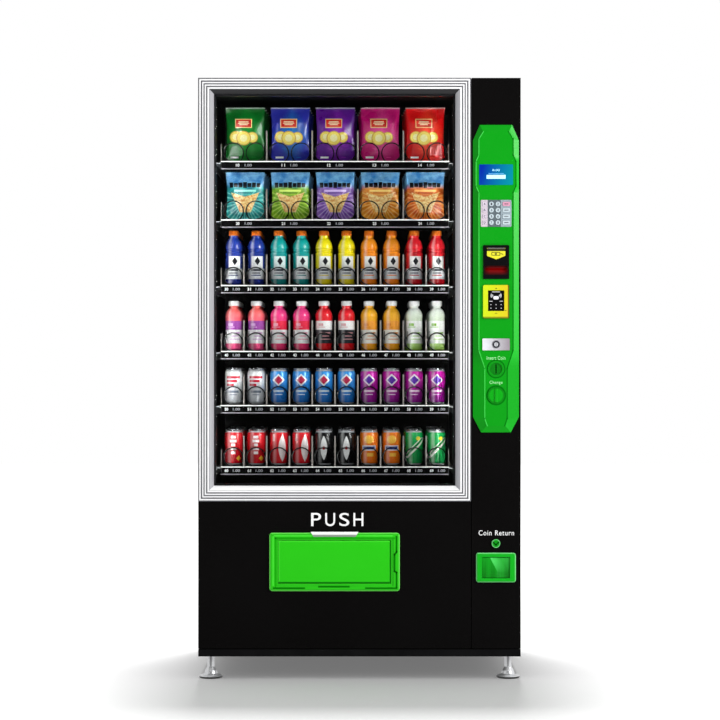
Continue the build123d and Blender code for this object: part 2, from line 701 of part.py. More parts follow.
# ---------------------------------------------------------------- delivery opening
def delivery_bezel():
    """Green rounded surround with a rim step and the tunnel through the door."""
    width, height, z = BEZEL
    wide, tall, mouth_z = MOUTH
    front = slab(RectangleRounded(width, height, 10), BEZEL_X, z, DOOR_FACE - 10, DOOR_FACE)
    front = chamfer(front.faces().sort_by(Axis.Y)[0].edges(), 5)
    tunnel = block(BEZEL_X - wide / 2 - 3.5, BEZEL_X + wide / 2 + 3.5, DOOR_FACE - 1, DOOR_BACK,
                   mouth_z - tall / 2 - 3.5, mouth_z + tall / 2 + 3.5)
    cavity = block(BEZEL_X - wide / 2, BEZEL_X + wide / 2, FRONT, DOOR_BACK,
                   mouth_z - tall / 2, mouth_z + tall / 2)
    rim = block(BEZEL_X - wide / 2 - 8, BEZEL_X + wide / 2 + 8, FRONT, DOOR_FACE - 7,
                mouth_z - tall / 2 - 8, mouth_z + tall / 2 + 8)
    axis_z = mouth_z + tall / 2 - FLAP_AXIS_DROP
    pins = rod_x(FLAP_AXIS_Y, axis_z, FLAP_ROD_R + RUNNING_GAP,
                 BEZEL_X - wide / 2 - 9, BEZEL_X + wide / 2 + 9)
    return front + tunnel - cavity - rim - pins


def push_tab():
    """Pale wedge-shaped finger plate over the delivery flap."""
    face = DOOR_FACE - 10
    shape = make_face(Polyline((-77, 9), (77, 9), (68, -7), (-68, -7), close=True))
    return slab(shape, BEZEL_X, 468, face - 2.5, face)


def delivery_flap():
    """Push-in flap, hung on a rod along its top."""
    wide, tall, z = MOUTH
    return small_flap(wide, tall, z, FLAP_THICK, FLAP_ROD_R, BEZEL_X, 8)


# ---------------------------------------------------------------- trays and spirals
def slot_width(slots):
    return (TRAY_RIGHT - TRAY_LEFT) / slots


def slot_centre(slots, index):
    return TRAY_LEFT + (index + 0.5) * slot_width(slots)


def coil_axis_z(level, radius):
    return level - FLOOR_DROP + COIL_CLEARANCE + radius + WIRE / 2


def coil_lines(slots):
    """X of every spiral axis and its radius: twin spirals in wide slots, one in narrow ones."""
    lines = []
    for index in range(slots):
        centre = slot_centre(slots, index)
        if slots < 10:
            lines.append((centre - TWIN_OFFSET, TWIN_RADIUS))
            lines.append((centre + TWIN_OFFSET, TWIN_RADIUS))
        else:
            lines.append((centre, SINGLE_RADIUS))
    return lines


def divider(x, floor):
    """Partition between two slots, with a tall front post."""
    side = make_face(Polyline((TRAY_FRONT + 6, floor - 0.5), (TRAY_FRONT + 6, floor + DIVIDER_FRONT - 8),
                              (TRAY_FRONT + 22, floor + DIVIDER_FRONT - 8),
                              (TRAY_FRONT + 60, floor + DIVIDER_REAR),
                              (MOTOR_FRONT, floor + DIVIDER_REAR), (MOTOR_FRONT, floor - 0.5),
                              close=True))
    plane = Plane(origin=(x - TRAY_SHEET / 2, 0, 0), x_dir=(0, 1, 0), z_dir=(1, 0, 0))
    sheet = extrude(plane * side, TRAY_SHEET)
    post = rod_z(x, TRAY_FRONT + 6, 2.6, floor - 0.5, floor + DIVIDER_FRONT)
    return sheet + post


def tray(level, slots):
    """Pan, dividers and ticket rail in one, with the spiral motors standing at its back."""
    floor = level - FLOOR_DROP
    parts = [block(TRAY_LEFT, TRAY_RIGHT, TRAY_FRONT + 1, TRAY_BACK, floor - TRAY_SHEET, floor)]
    for x in (TRAY_LEFT, TRAY_RIGHT - TRAY_SHEET):
        parts.append(block(x, x + TRAY_SHEET, TRAY_FRONT + 6, TRAY_BACK, floor - 1, floor + TRAY_WALL))
    parts.append(block(TRAY_LEFT, TRAY_RIGHT, TRAY_BACK - TRAY_SHEET, TRAY_BACK, floor - 1,
                       floor + TRAY_WALL))
    parts.append(block(TRAY_LEFT, TRAY_RIGHT, TRAY_FRONT, TRAY_FRONT + 2, level - RAIL_HEIGHT, level))
    for low in (level - RAIL_HEIGHT, level - RAIL_LIP):
        parts.append(block(TRAY_LEFT, TRAY_RIGHT, TRAY_FRONT - 3, TRAY_FRONT + 1, low, low + RAIL_LIP))
    for index in range(1, slots):
        parts.append(divider(TRAY_LEFT + index * slot_width(slots), floor))
    motors = []
    for x, radius in coil_lines(slots):
        z = coil_axis_z(level, radius)
        motor = block(x - 24, x + 24, MOTOR_FRONT, TRAY_BACK - 6, floor, floor + 66)
        motors.append(motor - rod_y(x, z, SHAFT_R + RUNNING_GAP, MOTOR_FRONT, MOTOR_FRONT + 22))
    return group([union(parts)] + motors)


def spiral(radius):
    """Wire spiral along -Y from its hub, with the shaft that enters the motor."""
    length = PITCH * COIL_TURNS
    path = Helix(pitch=PITCH, height=length, radius=radius)
    section = Plane(origin=path @ 0, z_dir=path % 0) * Circle(WIRE / 2)
    wire = sweep(section, path=path, is_frenet=True)
    spoke = Rot(0, 90, 0) * Cylinder(2.5, radius + 1, align=(Align.CENTER, Align.CENTER, Align.MIN))
    hub = Pos(0, 0, -7) * Cylinder(9, 22)
    shaft = Pos(0, 0, -28) * Cylinder(SHAFT_R, 24)
    return Rot(90, 0, 0) * (wire + spoke + hub + shaft)


def placed_spiral(level, x, radius, mirrored):
    """A spiral on its axis in a tray; a mirrored one winds the other way."""
    coil = spiral(radius)
    if mirrored:
        coil = mirror(coil, Plane.YZ)
    return Pos(x, COIL_BACK, coil_axis_z(level, radius)) * coil


def bag_row(level, tall):
    """Plain soft packs, thin where they stand between the turns of a twin spiral, one pitch back."""
    wide, thick = BAG_SIZE
    foot_wide, foot_thick, foot_tall = BAG_FOOT
    x = slot_centre(TRAY_SLOTS[0], TURNING_SNACK_SLOT)
    floor = level - FLOOR_DROP
    packs = []
    for index in range(BAGS_IN_ROW):
        y = COIL_BACK - (1.5 + index) * PITCH
        body = block(x - wide / 2, x + wide / 2, y - thick / 2, y + thick / 2,
                     floor + foot_tall - 2, floor + 0.5 + tall)
        foot = block(x - foot_wide / 2, x + foot_wide / 2, y - foot_thick / 2, y + foot_thick / 2,
                     floor + 0.5, floor + foot_tall)
        packs.append(fillet(body.edges(), 8) + foot)
    return group(packs)


# ---------------------------------------------------------------- all files
def snack_rows():
    """Twin spirals and their packs in one slot of each snack tray."""
    centre = slot_centre(TRAY_SLOTS[0], TURNING_SNACK_SLOT)
    for row in (0, 1):
        level = TRAY_LEVELS[row]
        write(f"spiral_row{row + 1}_left",
              placed_spiral(level, centre - TWIN_OFFSET, TWIN_RADIUS, False))
        write(f"spiral_row{row + 1}_right",
              placed_spiral(level, centre + TWIN_OFFSET, TWIN_RADIUS, True))
        write(f"snack_packs_row{row + 1}", bag_row(level, BAG_HEIGHTS[row]))


def drink_rows():
    """One turning spiral in a bottle tray and one in a can tray."""
    for row in (2, 5):
        centre = slot_centre(TRAY_SLOTS[row], TURNING_DRINK_SLOT)
        write(f"spiral_row{row + 1}", placed_spiral(TRAY_LEVELS[row], centre, SINGLE_RADIUS, False))


def main():
    os.makedirs("parts", exist_ok=True)
    makers = (cabinet_shell, base_frame, levelling_feet, inner_liner, insulation_foam, rear_panel,
              tray_runners, air_duct, delivery_bin, evaporator_unit, compressor, condenser,
              fan_shroud, condenser_fan, control_box, power_inlet, hinge_brackets, hinge_pins,
              lock_strike, door_frame, lower_panel, column_panel, window_trim, glazing_spacer,
              door_gasket, light_strips, control_fascia, display_screen, keypad_plate, keypad_keys,
              bill_acceptor, card_reader, lock_plate, lock_barrel, lock_cam, coin_slot, change_knob,
              coin_mechanism, coin_return_cup, coin_return_flap, return_button, delivery_bezel,
              push_tab, delivery_flap)
    for maker in makers:
        write(maker.__name__, maker())
    write("glass_outer", glass_pane(OUTER_GLASS_Y))
    write("glass_inner", glass_pane(inner_glass_y()))
    for row, (level, slots) in enumerate(zip(TRAY_LEVELS, TRAY_SLOTS)):
        write(f"tray_{row + 1}", tray(level, slots))
    snack_rows()
    drink_rows()


main()
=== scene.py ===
import bpy
import math
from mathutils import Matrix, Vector, noise


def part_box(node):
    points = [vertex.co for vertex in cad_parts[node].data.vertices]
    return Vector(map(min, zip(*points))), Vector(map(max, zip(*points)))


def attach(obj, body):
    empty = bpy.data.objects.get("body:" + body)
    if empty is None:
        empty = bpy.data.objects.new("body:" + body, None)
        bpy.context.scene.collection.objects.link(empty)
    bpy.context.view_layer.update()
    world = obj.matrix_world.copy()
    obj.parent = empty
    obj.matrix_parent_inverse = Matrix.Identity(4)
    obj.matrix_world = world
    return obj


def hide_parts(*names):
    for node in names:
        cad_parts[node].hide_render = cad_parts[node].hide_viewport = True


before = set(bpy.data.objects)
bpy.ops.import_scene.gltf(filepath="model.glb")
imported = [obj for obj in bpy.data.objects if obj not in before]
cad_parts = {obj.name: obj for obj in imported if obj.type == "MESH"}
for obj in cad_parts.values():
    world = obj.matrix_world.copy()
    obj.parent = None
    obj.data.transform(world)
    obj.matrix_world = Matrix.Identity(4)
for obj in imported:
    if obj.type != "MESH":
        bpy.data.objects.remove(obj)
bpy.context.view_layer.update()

# Metres throughout. +X is the customer's right, -Y is the front, +Z is up.

# ---------------------------------------------------------------- sizes taken from the frame
TRIM_LOW, TRIM_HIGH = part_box("window_trim")
DOOR_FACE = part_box("column_panel")[0].y
FASCIA_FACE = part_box("control_fascia")[0].y
TRAY_BOXES = [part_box(f"tray_{row}") for row in range(1, 7)]
RAIL_HEIGHT = 0.027
RAIL_LIP = 0.003
RAIL_FACE = TRAY_BOXES[0][0].y + RAIL_LIP
TRAY_LEFT = TRAY_BOXES[0][0].x
TRAY_WIDTH = TRAY_BOXES[0][1].x - TRAY_LEFT
TRAY_LEVELS = [low.z + RAIL_HEIGHT for low, high in TRAY_BOXES]
FLOOR_DROP = 0.003
POST_FACE_DEPTH = 0.0093

# Spirals, as the turning ones in the frame
PITCH = 0.07
COIL_TURNS = 5.75
COIL_BACK = 0.21
WIRE_R = 0.002
COIL_LIFT = 0.0015
TWIN_RADIUS = 0.032
TWIN_OFFSET = 0.0365
SINGLE_RADIUS = 0.03
TURNING_SNACK_SLOT = 2
TURNING_DRINK_SLOT = 4

# Window trim section: each rib's flat top, from the outer edge inwards
RIBS = ((0.0038, 0.0082), (0.0132, 0.0168), (0.0212, 0.025), (0.0297, 0.0347))
GROOVE_DEPTH = 0.0024
RIB_FALL = 0.0014
TRIM_WIDTH = 0.05

NOTE_SLOT_Z = 1.319
LAMP_POWER = 38.0
WORLD_FILL = 0.5

SNACK_ROWS = 2
SNACK_SLOTS = 5
DRINK_SLOTS = 10
SUNK = 0.0003  # how far raised lines reach into the face under them
RING_STEPS = 40
RETURN_WORDS_Z = 0.473
PUSH_WORD_Z = 0.516
SCREW_INSET = 0.016
SCREWS_ACROSS = 5
SCREWS_UP = 8
SCREW_STEPS = 20
FLOOR_HALF = 14.0

scene = bpy.context.scene


def add(name, data):
    """A new object in the scene."""
    made = bpy.data.objects.new(name, data)
    scene.collection.objects.link(made)
    return made


def centre_of(node):
    low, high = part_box(node)
    return (low + high) / 2


# ---------------------------------------------------------------- colours and node materials
def rgb(code):
    """An sRGB hex code as linear colour."""
    parts = [int(code[i:i + 2], 16) / 255 for i in (0, 2, 4)]
    return tuple(p / 12.92 if p <= 0.04045 else ((p + 0.055) / 1.055) ** 2.4 for p in parts)


class Shade:
    """A node material while it is being put together."""

    def __init__(self, name, rough=0.4, metal=0.0, **sockets):
        self.material = bpy.data.materials.new(name)
        self.material.use_nodes = True
        self.tree = self.material.node_tree
        self.shader = self.tree.nodes["Principled BSDF"]
        self.rough = rough
        self.shader.inputs["Metallic"].default_value = metal
        for socket, value in sockets.items():
            self.put(self.shader.inputs[socket.replace("_", " ")], value)
        self.place = self.node("ShaderNodeTexCoord").outputs

    def put(self, socket, value):
        """Links a socket or sets a plain value; a hex code is a colour."""
        if isinstance(value, bpy.types.NodeSocket):
            self.tree.links.new(value, socket)
        elif isinstance(value, str):
            socket.default_value = (*rgb(value), 1)
        elif isinstance(value, tuple) and len(value) == 3 and socket.type == "RGBA":
            socket.default_value = (*value, 1)
        else:
            socket.default_value = value

    def node(self, kind, inputs=None, **settings):
        made = self.tree.nodes.new(kind)
        for name, value in settings.items():
            setattr(made, name, value)
        for name, value in (inputs or {}).items():
            self.put(made.inputs[name], value)
        return made

    def math(self, operation, *values):
        made = self.node("ShaderNodeMath", operation=operation)
        for index, value in enumerate(values):
            self.put(made.inputs[index], value)
        return made.outputs[0]

    def above(self, value, limit):
        return self.math("GREATER_THAN", value, limit)

    def below(self, value, limit):
        return self.math("LESS_THAN", value, limit)

    def times(self, first, second):
        return self.math("MULTIPLY", first, second)

    def plus(self, first, second):
        return self.math("ADD", first, second)

    def less(self, first, second):
        return self.math("SUBTRACT", first, second)

    def larger(self, first, second):
        return self.math("MAXIMUM", first, second)

    def away(self, value, middle):
        """How far a value is from a middle, either way."""
        return self.math("ABSOLUTE", self.less(value, middle))

    def mix(self, factor, first, second):
        made = self.node("ShaderNodeMix", data_type="RGBA")
        for index, value in ((0, factor), (6, first), (7, second)):
            self.put(made.inputs[index], value)
        return made.outputs[2]

    def noise(self, scale, detail=3.0, stretch=(1, 1, 1), source="Object"):
        vector = self.node("ShaderNodeMapping", {"Vector": self.place[source], "Scale": stretch})
        texture = self.node("ShaderNodeTexNoise", {"Vector": vector.outputs[0], "Scale": scale,
                                                   "Detail": detail})
        return texture.outputs["Fac"]

    def spread(self, value, low, high, to_low, to_high):
        made = self.node("ShaderNodeMapRange", {"Value": value, "From Min": low, "From Max": high,
                                                "To Min": to_low, "To Max": to_high})
        return made.outputs[0]

    def axes(self, source="Object"):
        return self.node("ShaderNodeSeparateXYZ", {"Vector": self.place[source]}).outputs

    def within(self, value, low, high):
        """1 where low < value < high."""
        return self.times(self.above(value, low), self.below(value, high))

    def oval(self, u, v, centre, radii):
        """1 inside an ellipse."""
        across = self.math("DIVIDE", self.less(u, centre[0]), radii[0])
        along = self.math("DIVIDE", self.less(v, centre[1]), radii[1])
        reach = self.plus(self.math("POWER", self.math("ABSOLUTE", across), 2.0),
                          self.math("POWER", self.math("ABSOLUTE", along), 2.0))
        return self.below(reach, 1.0)

    def patch(self, u, v, centre, halves):
        """1 inside a rectangle."""
        return self.times(self.within(u, centre[0] - halves[0], centre[0] + halves[0]),
                          self.within(v, centre[1] - halves[1], centre[1] + halves[1]))

    def distance(self, x, z, centre):
        """Distance from a line along Y."""
        across = self.less(x, centre.x)
        up = self.less(z, centre.z)
        return self.math("SQRT", self.plus(self.times(across, across), self.times(up, up)))

    def inset(self, x, z, low, high):
        """Distance inwards from the nearest side of a rectangle."""
        sides = [self.less(x, low.x), self.less(high.x, x), self.less(z, low.z), self.less(high.z, z)]
        return self.math("MINIMUM", self.math("MINIMUM", *sides[:2]), self.math("MINIMUM", *sides[2:]))

    def glow(self, colour, strength):
        """Light given off by the surface."""
        self.put(self.shader.inputs["Emission Color"], colour)
        self.put(self.shader.inputs["Emission Strength"], strength)

    def stamp(self, colour, u, v, shapes):
        """Rectangles printed over a colour, each (centre, halves, tone)."""
        for centre, halves, tone in shapes:
            colour = self.mix(self.patch(u, v, centre, halves), colour, tone)
        return colour

    def finish(self, colour, grain=300.0, stretch=(1, 1, 1), vary=0.1, bump=0.1, uneven=0.06,
               depth=0.0004):
        """Grain in the colour, uneven gloss and a fine bump; returns the material."""
        fine = self.noise(grain, 4.0, stretch)
        broad = self.noise(grain / 25, 3.0)
        shade = self.spread(self.plus(fine, broad), 0.6, 1.4, 1 - vary, 1 + vary)
        value = self.node("ShaderNodeHueSaturation", {"Value": shade, "Color": colour})
        self.put(self.shader.inputs["Base Color"], value.outputs[0])
        rough = self.spread(broad, 0.3, 0.7, max(self.rough - uneven, 0.02), self.rough + uneven)
        self.put(self.shader.inputs["Roughness"], rough)
        lift = self.node("ShaderNodeBump", {"Strength": bump, "Distance": depth, "Height": fine})
        self.put(self.shader.inputs["Normal"], lift.outputs[0])
        return self.material


def plain(name, code, rough=0.4, metal=0.0, grain=300.0, stretch=(1, 1, 1), vary=0.1, bump=0.1,
          **sockets):
    """A one-colour material with its grain, uneven gloss and bump."""
    shade = Shade(name, rough, metal, **sockets)
    return shade.finish(code, grain, stretch, vary, bump)


def moulded(shade, colour):
    """Even, clean plastic."""
    return shade.finish(colour, 260.0, vary=0.025, bump=0.02, uneven=0.015)


def lamp_material():
    """Lamp strip in a dark case, lit on the side that faces the trays."""
    shade = Shade("lamp_strip", 0.6)
    _, y, _ = shade.axes()
    lit = shade.above(y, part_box("light_strips")[1].y - 0.00005)
    shade.glow((1.0, 1.0, 1.0), shade.times(lit, LAMP_POWER))
    return shade.finish(shade.mix(lit, "08080A", "FFFFFF"), bump=0.02)


def glowing(name, code, strength):
    """A lit surface."""
    shade = Shade(name, 0.5, Emission_Color=code, Emission_Strength=strength)
    return shade.finish(code, bump=0.02)


def glass_material():
    """Clear pane: see-through, with a faint reflection that grows towards the edge of sight."""
    shade = Shade("window_glass", 0.03)
    tree = shade.tree
    clear = shade.node("ShaderNodeBsdfTransparent", {"Color": (0.985, 0.99, 0.988)})
    smears = shade.spread(shade.noise(6.0, 4.0, (1, 1, 0.4)), 0.3, 0.8, 0.015, 0.06)
    gloss = shade.node("ShaderNodeBsdfGlossy", {"Roughness": smears})
    share = shade.times(shade.node("ShaderNodeFresnel", {"IOR": 1.45}).outputs[0], 0.1)
    both = shade.node("ShaderNodeMixShader", {0: share, 1: clear.outputs[0], 2: gloss.outputs[0]})
    tree.links.new(both.outputs[0], tree.nodes["Material Output"].inputs["Surface"])
    return shade.material


def tray_material(name, level):
    """Black tray with bare posts and a pale upper and a grey lower lip on its ticket rail."""
    shade = Shade(name, 0.5, Specular_IOR_Level=0.2)
    _, y, z = shade.axes()
    lip = shade.below(y, RAIL_FACE - 0.0004)
    upper = shade.times(lip, shade.above(z, level - RAIL_HEIGHT / 2))
    post = shade.times(shade.below(y, RAIL_FACE + POST_FACE_DEPTH), shade.above(z, level + 0.0005))
    colour = shade.mix(lip, "08080A", "8E8A92")
    colour = shade.mix(upper, colour, "FFFDFB")
    colour = shade.mix(post, colour, "8E8884")
    return shade.finish(colour, 500.0)


def display_material():
    """Lit screen, blue on the left to cyan on the right."""
    low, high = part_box("display_screen")
    shade = Shade("display", 0.15, Specular_IOR_Level=0.1)
    x, y, z = shade.axes()
    across = shade.spread(x, low.x + 0.01, high.x, 0.0, 1.0)
    down = shade.spread(z, low.z, high.z, 0.12, -0.06)
    lit = shade.mix(shade.plus(across, down), "0A3CD0", "08B4CC")
    front = shade.below(y, low.y + 0.0003)
    shade.glow(lit, shade.times(front, 0.72))
    return shade.finish("02060C", 200.0, bump=0.02)


def reader_material():
    """Yellow surround with painted shade on its right and foot, and a black screen in its recess."""
    low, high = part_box("card_reader")
    shade = Shade("reader", 0.35, Specular_IOR_Level=0.2)
    x, _, z = shade.axes()
    middle = ((low.x + high.x) / 2, (low.z + high.z) / 2 + 0.003)
    colour = shade.mix(shade.spread(x, low.x, high.x, 0.0, 1.0), "B8CC14", "C8B018")
    # painted shade along the right side and the foot
    shaded = shade.larger(shade.spread(x, high.x - 0.006, high.x - 0.0025, 0.0, 0.9),
                          shade.spread(z, low.z + 0.007, low.z + 0.002, 0.0, 0.75))
    colour = shade.mix(shaded, colour, "3A3408")
    screen = shade.patch(x, z, middle, (0.0262, 0.0332))
    return moulded(shade, shade.mix(screen, colour, "050507"))


def note_material():
    """Black moulding with a soft red glow in its slot."""
    low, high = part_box("bill_acceptor")
    shade = Shade("note_acceptor", 0.4, Specular_IOR_Level=0.1)
    x, y, z = shade.axes()
    near = shade.below(y, DOOR_FACE + 0.06)
    up = shade.spread(shade.away(z, NOTE_SLOT_Z), 0.002, 0.016, 1.0, 0.0)
    along = shade.away(x, (low.x + high.x) / 2)
    glow = shade.times(shade.times(up, shade.spread(along, 0.02, 0.04, 1.0, 0.0)), near)
    shade.glow("E01010", shade.times(glow, 0.3))
    return moulded(shade, "08080A")


def lock_materials():
    """A bright brushed plate with a painted reflection, pale on the left to darker on the right, and a
    barrel with a dark rim and a pale middle.
    """
    low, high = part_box("lock_plate")
    shade = Shade("lock_plate", 0.35, 0.15)
    x, _, _ = shade.axes()
    # painted reflection: the plate fades from pale on the left to darker on the right
    plate = shade.finish(shade.mix(shade.spread(x, low.x, high.x, 0.0, 1.0), "DADDE2", "8F858D"), 700.0,
                         (0.04, 1, 1), 0.06)
    shade = Shade("lock_barrel", 0.3, 0.3)
    x, _, z = shade.axes()
    middle = shade.below(shade.distance(x, z, centre_of("lock_barrel")), 0.0066)
    return plate, shade.finish(shade.mix(middle, "2E2E38", "C8CACE"), 800.0)


def pad_material():
    """Key plate: a rosy strip on the left, dark between the round keys, silver on the right."""
    middle = centre_of("keypad_plate").x
    shade = Shade("keypad_plate", 0.35, 0.1)
    x, _, _ = shade.axes()
    colour = shade.mix(shade.above(x, middle - 0.0275), "C4B8C2", "59646A")
    colour = shade.mix(shade.above(x, middle + 0.0155), colour, "8E9CA4")
    return shade.finish(colour, 700.0, (0.05, 1, 1), 0.06)


def key_material():
    """Pale keys, the top right one rosy."""
    low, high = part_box("keypad_keys")
    shade = Shade("key_caps", 0.35)
    x, _, z = shade.axes()
    top_right = shade.times(shade.above(x, high.x - 0.03), shade.above(z, high.z - 0.016))
    colour = shade.mix(top_right, "AEBCC2", "C88CA4")
    left = shade.below(x, low.x + 0.018)
    return shade.finish(shade.mix(left, colour, "C4B8C6"), 500.0)


def round_material(name, node, rim, tone, rim_tone):
    """Moulded disc with painted shade: darker inside a radius on the coin slot, outside it on the knob.
    """
    shade = Shade(name, 0.3, Specular_IOR_Level=0.15)
    x, _, z = shade.axes()
    reach = shade.distance(x, z, centre_of(node))
    # painted shade: one of the two tones is the darker one, inside the radius for the coin slot, outside
    # it for the knob
    outside = shade.spread(reach, rim - 0.002, rim + 0.001, 0.0, 1.0)
    return moulded(shade, shade.mix(outside, tone, rim_tone))


def faceted_material():
    """Green moulding with painted light: paler on facets that turn right, a little paler up, painted
    shade to the left.
    """
    shade = Shade("faceted_green_painted_light", 0.3, Specular_IOR_Level=0.15)
    turn = shade.axes("Normal")
    # painted light: facets turned right, and a little those facing up, get a paler green
    right = shade.larger(shade.spread(turn[0], 0.12, 0.3, 0.0, 1.0),
                         shade.spread(turn[2], 0.12, 0.5, 0.0, 0.1))
    colour = shade.mix(right, "028B0E", "1AA426")
    # painted shade: facets turned left get a deeper green
    return moulded(shade, shade.mix(shade.spread(turn[0], -0.12, -0.3, 0.0, 1.0), colour, "02780D"))


def outlined_material(name, node, tone, outline, thick):
    """Moulded surround with a painted highlight along its outer edge."""
    low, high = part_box(node)
    shade = Shade(name, 0.3, Specular_IOR_Level=0.2)
    x, _, z = shade.axes()
    # painted highlight: a paler band along the outer edge
    edge = shade.spread(shade.inset(x, z, low, high), thick * 0.6, thick * 1.4, 1.0, 0.0)
    return moulded(shade, shade.mix(edge, tone, outline))


def foot_material():
    """Bright turned metal on a black pad."""
    shade = Shade("foot_chrome", 0.3, 0.75)
    _, _, z = shade.axes()
    pad = shade.below(z, 0.0062)
    shade.put(shade.shader.inputs["Metallic"], shade.spread(pad, 0.0, 1.0, 0.75, 0.0))
    return shade.finish(shade.mix(pad, "DEDFE1", "0E0E0F"), 90.0, vary=0.05, bump=0.04)


def tab_material():
    """Pale finger plate with painted shade on its lower bevel."""
    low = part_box("push_tab")[0]
    shade = Shade("push_tab", 0.35)
    _, _, z = shade.axes()
    # painted shade: grey on the lower bevel, pale above
    upper = shade.spread(z, low.z + 0.0055, low.z + 0.0085, 0.0, 1.0)
    return moulded(shade, shade.mix(upper, "7E8A7E", "E6E8E6"))


def flap_material():
    """Moulded flap with a painted shadow gap along its foot and right side and a painted highlight along
    its left and top edges.
    """
    low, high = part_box("delivery_flap")
    shade = Shade("flap_green", 0.3, Specular_IOR_Level=0.15)
    x, _, z = shade.axes()
    # painted shadow along the foot and right side
    dark = shade.larger(shade.above(x, high.x - 0.0125), shade.below(z, low.z + 0.004))
    # painted highlight along the left and top edges
    pale = shade.larger(shade.below(x, low.x + 0.0125), shade.above(z, high.z - 0.005))
    colour = shade.mix(pale, "22B80C", "38C824")
    return moulded(shade, shade.mix(dark, colour, "037002"))


# ---------------------------------------------------------------- mesh building
class Mesh:
    """Collects faces, each with a material number and a UV at every corner."""

    def __init__(self):
        self.points = []
        self.faces = []

    def face(self, corners, material=0, uvs=None):
        self.faces.append((corners, material, uvs))

    def grid(self, rows, material=0, uv=None, closed=False):
        """Faces between rows of points; closed joins the last column to the first."""
        start = len(self.points)
        width = len(rows[0])
        for row in rows:
            self.points.extend(row)
        for j in range(len(rows) - 1):
            for i in range(width if closed else width - 1):
                ring = (i, i + 1, i + 1, i)
                steps = (j, j, j + 1, j + 1)
                corners = [start + s * width + r % width for r, s in zip(ring, steps)]
                number = material(i, j) if callable(material) else material
                spots = [uv(r, s) for r, s in zip(ring, steps)] if uv else None
                self.face(corners, number, spots)
        return start

    def cap(self, first, count, material=0, flip=False, uvs=None):
        """One face over a ring of points."""
        ring = [first + index for index in range(count)]
        self.face(ring[::-1] if flip else ring, material, uvs)

    def prism(self, outline, y_front, y_back, material=0):
        """A closed outline of (x, z) points, made solid between two depths."""
        count = len(outline)
        front = [Vector((x, y_front, z)) for x, z in outline]
        back = [Vector((x, y_back, z)) for x, z in outline]
        start = self.grid([back, front], material, closed=True)
        self.cap(start, count, material, flip=True)
        self.cap(start + count, count, material)

    def build(self, name, body, materials, slot=None, smooth=True, angle=40, replaces=()):
        """Makes the object, which rides on a body."""
        data = bpy.data.meshes.new(name)
        data.from_pydata(self.points, [], [list(face[0]) for face in self.faces])
        for material in materials:
            data.materials.append(material)
        layer = data.uv_layers.new(name="UVMap")
        for polygon, (corners, number, uvs) in zip(data.polygons, self.faces):
            polygon.material_index = number
            for index, loop in enumerate(polygon.loop_indices):
                layer.data[loop].uv = uvs[index] if uvs else (0, 0)
        data.update()
        if smooth:
            data.shade_smooth()
            data.set_sharp_from_angle(angle=math.radians(angle))
        made = add(name, data)
        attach(made, body)
        if replaces:
            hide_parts(*replaces)
        return made


def rounded(width, height, radius, steps=5):
    """Corner points of a rounded rectangle about the origin, anticlockwise seen from the front."""
    points = []
    for turn, (sx, sz) in enumerate(((1, 1), (-1, 1), (-1, -1), (1, -1))):
        cx, cz = sx * (width / 2 - radius), sz * (height / 2 - radius)
        for step in range(steps + 1):
            angle = math.pi / 2 * (turn + step / steps)
            points.append((cx + radius * math.cos(angle), cz + radius * math.sin(angle)))
    return points


def moved(outline, x, z):
    return [(px + x, pz + z) for px, pz in outline]


def disc(radius, steps=24):
    return [(radius * math.cos(2 * math.pi * i / steps), radius * math.sin(2 * math.pi * i / steps))
            for i in range(steps)]


LETTER_SHAPES = {}


def letter_shape(text, bold, spacing):
    """Faces of a word, once per word: points and polygons with the front towards -Y."""
    if (text, bold, spacing) not in LETTER_SHAPES:
        curve = bpy.data.curves.new("word", "FONT")
        curve.body = text
        curve.extrude = 0.02
        curve.offset = bold
        curve.space_character = spacing
        holder = bpy.data.objects.new("word", curve)
        shape = bpy.data.meshes.new_from_object(holder)
        points = [Vector((v.co.x, -v.co.z, v.co.y)) for v in shape.vertices]
        faces = [list(p.vertices) for p in shape.polygons]
        bpy.data.objects.remove(holder)
        LETTER_SHAPES[text, bold, spacing] = (points, faces)
    return LETTER_SHAPES[text, bold, spacing]


def write(mesh, text, x, z, y_front, size, material=0, bold=0.0, depth=0.0004, spacing=1.0):
    """Adds a word to a mesh, centred at x, z, in a box of the given width and height."""
    points, faces = letter_shape(text, bold, spacing)
    low = Vector([min(p[axis] for p in points) for axis in range(3)])
    high = Vector([max(p[axis] for p in points) for axis in range(3)])
    width, height = size
    start = len(mesh.points)
    for p in points:
        mesh.points.append(Vector((
            x + ((p.x - low.x) / (high.x - low.x) - 0.5) * width,
            y_front + (p.y - low.y) / (high.y - low.y) * depth,
            z + ((p.z - low.z) / (high.z - low.z) - 0.5) * height)))
    for face in faces:
        mesh.face([start + index for index in face], material)


def stripe(mesh, points, width, y, material=0, lift=0.0004):
    """A thin raised line through (x, z) points."""
    for first, second in zip(points, points[1:]):
        first, second = Vector(first), Vector(second)
        along = (second - first).normalized() * width / 2
        across = Vector((-along.y, along.x))
        first, second = first - along, second + along
        corners = (first - across, second - across, second + across, first + across)
        mesh.prism([tuple(corner) for corner in corners], y - lift, y + SUNK, material)


def lathe_y(mesh, profile, steps, middle=(0, 0, 0), material=0):
    """A turned shape about a line along Y from (radius, depth towards the front) points."""
    x, y, z = middle
    rows = [[Vector((x + r * math.cos(a), y - d, z + r * math.sin(a)))
             for a in (2 * math.pi * s / steps for s in range(steps))] for r, d in profile]
    return mesh.grid(rows, material, closed=True)


def ring(mesh, x, z, inner, outer, y, material=0, lift=0.0004):
    """A thin raised ring."""
    profile = ((outer, -SUNK), (outer, lift), (inner, lift), (inner, -SUNK), (outer, -SUNK))
    lathe_y(mesh, profile, RING_STEPS, (x, y, z), material)


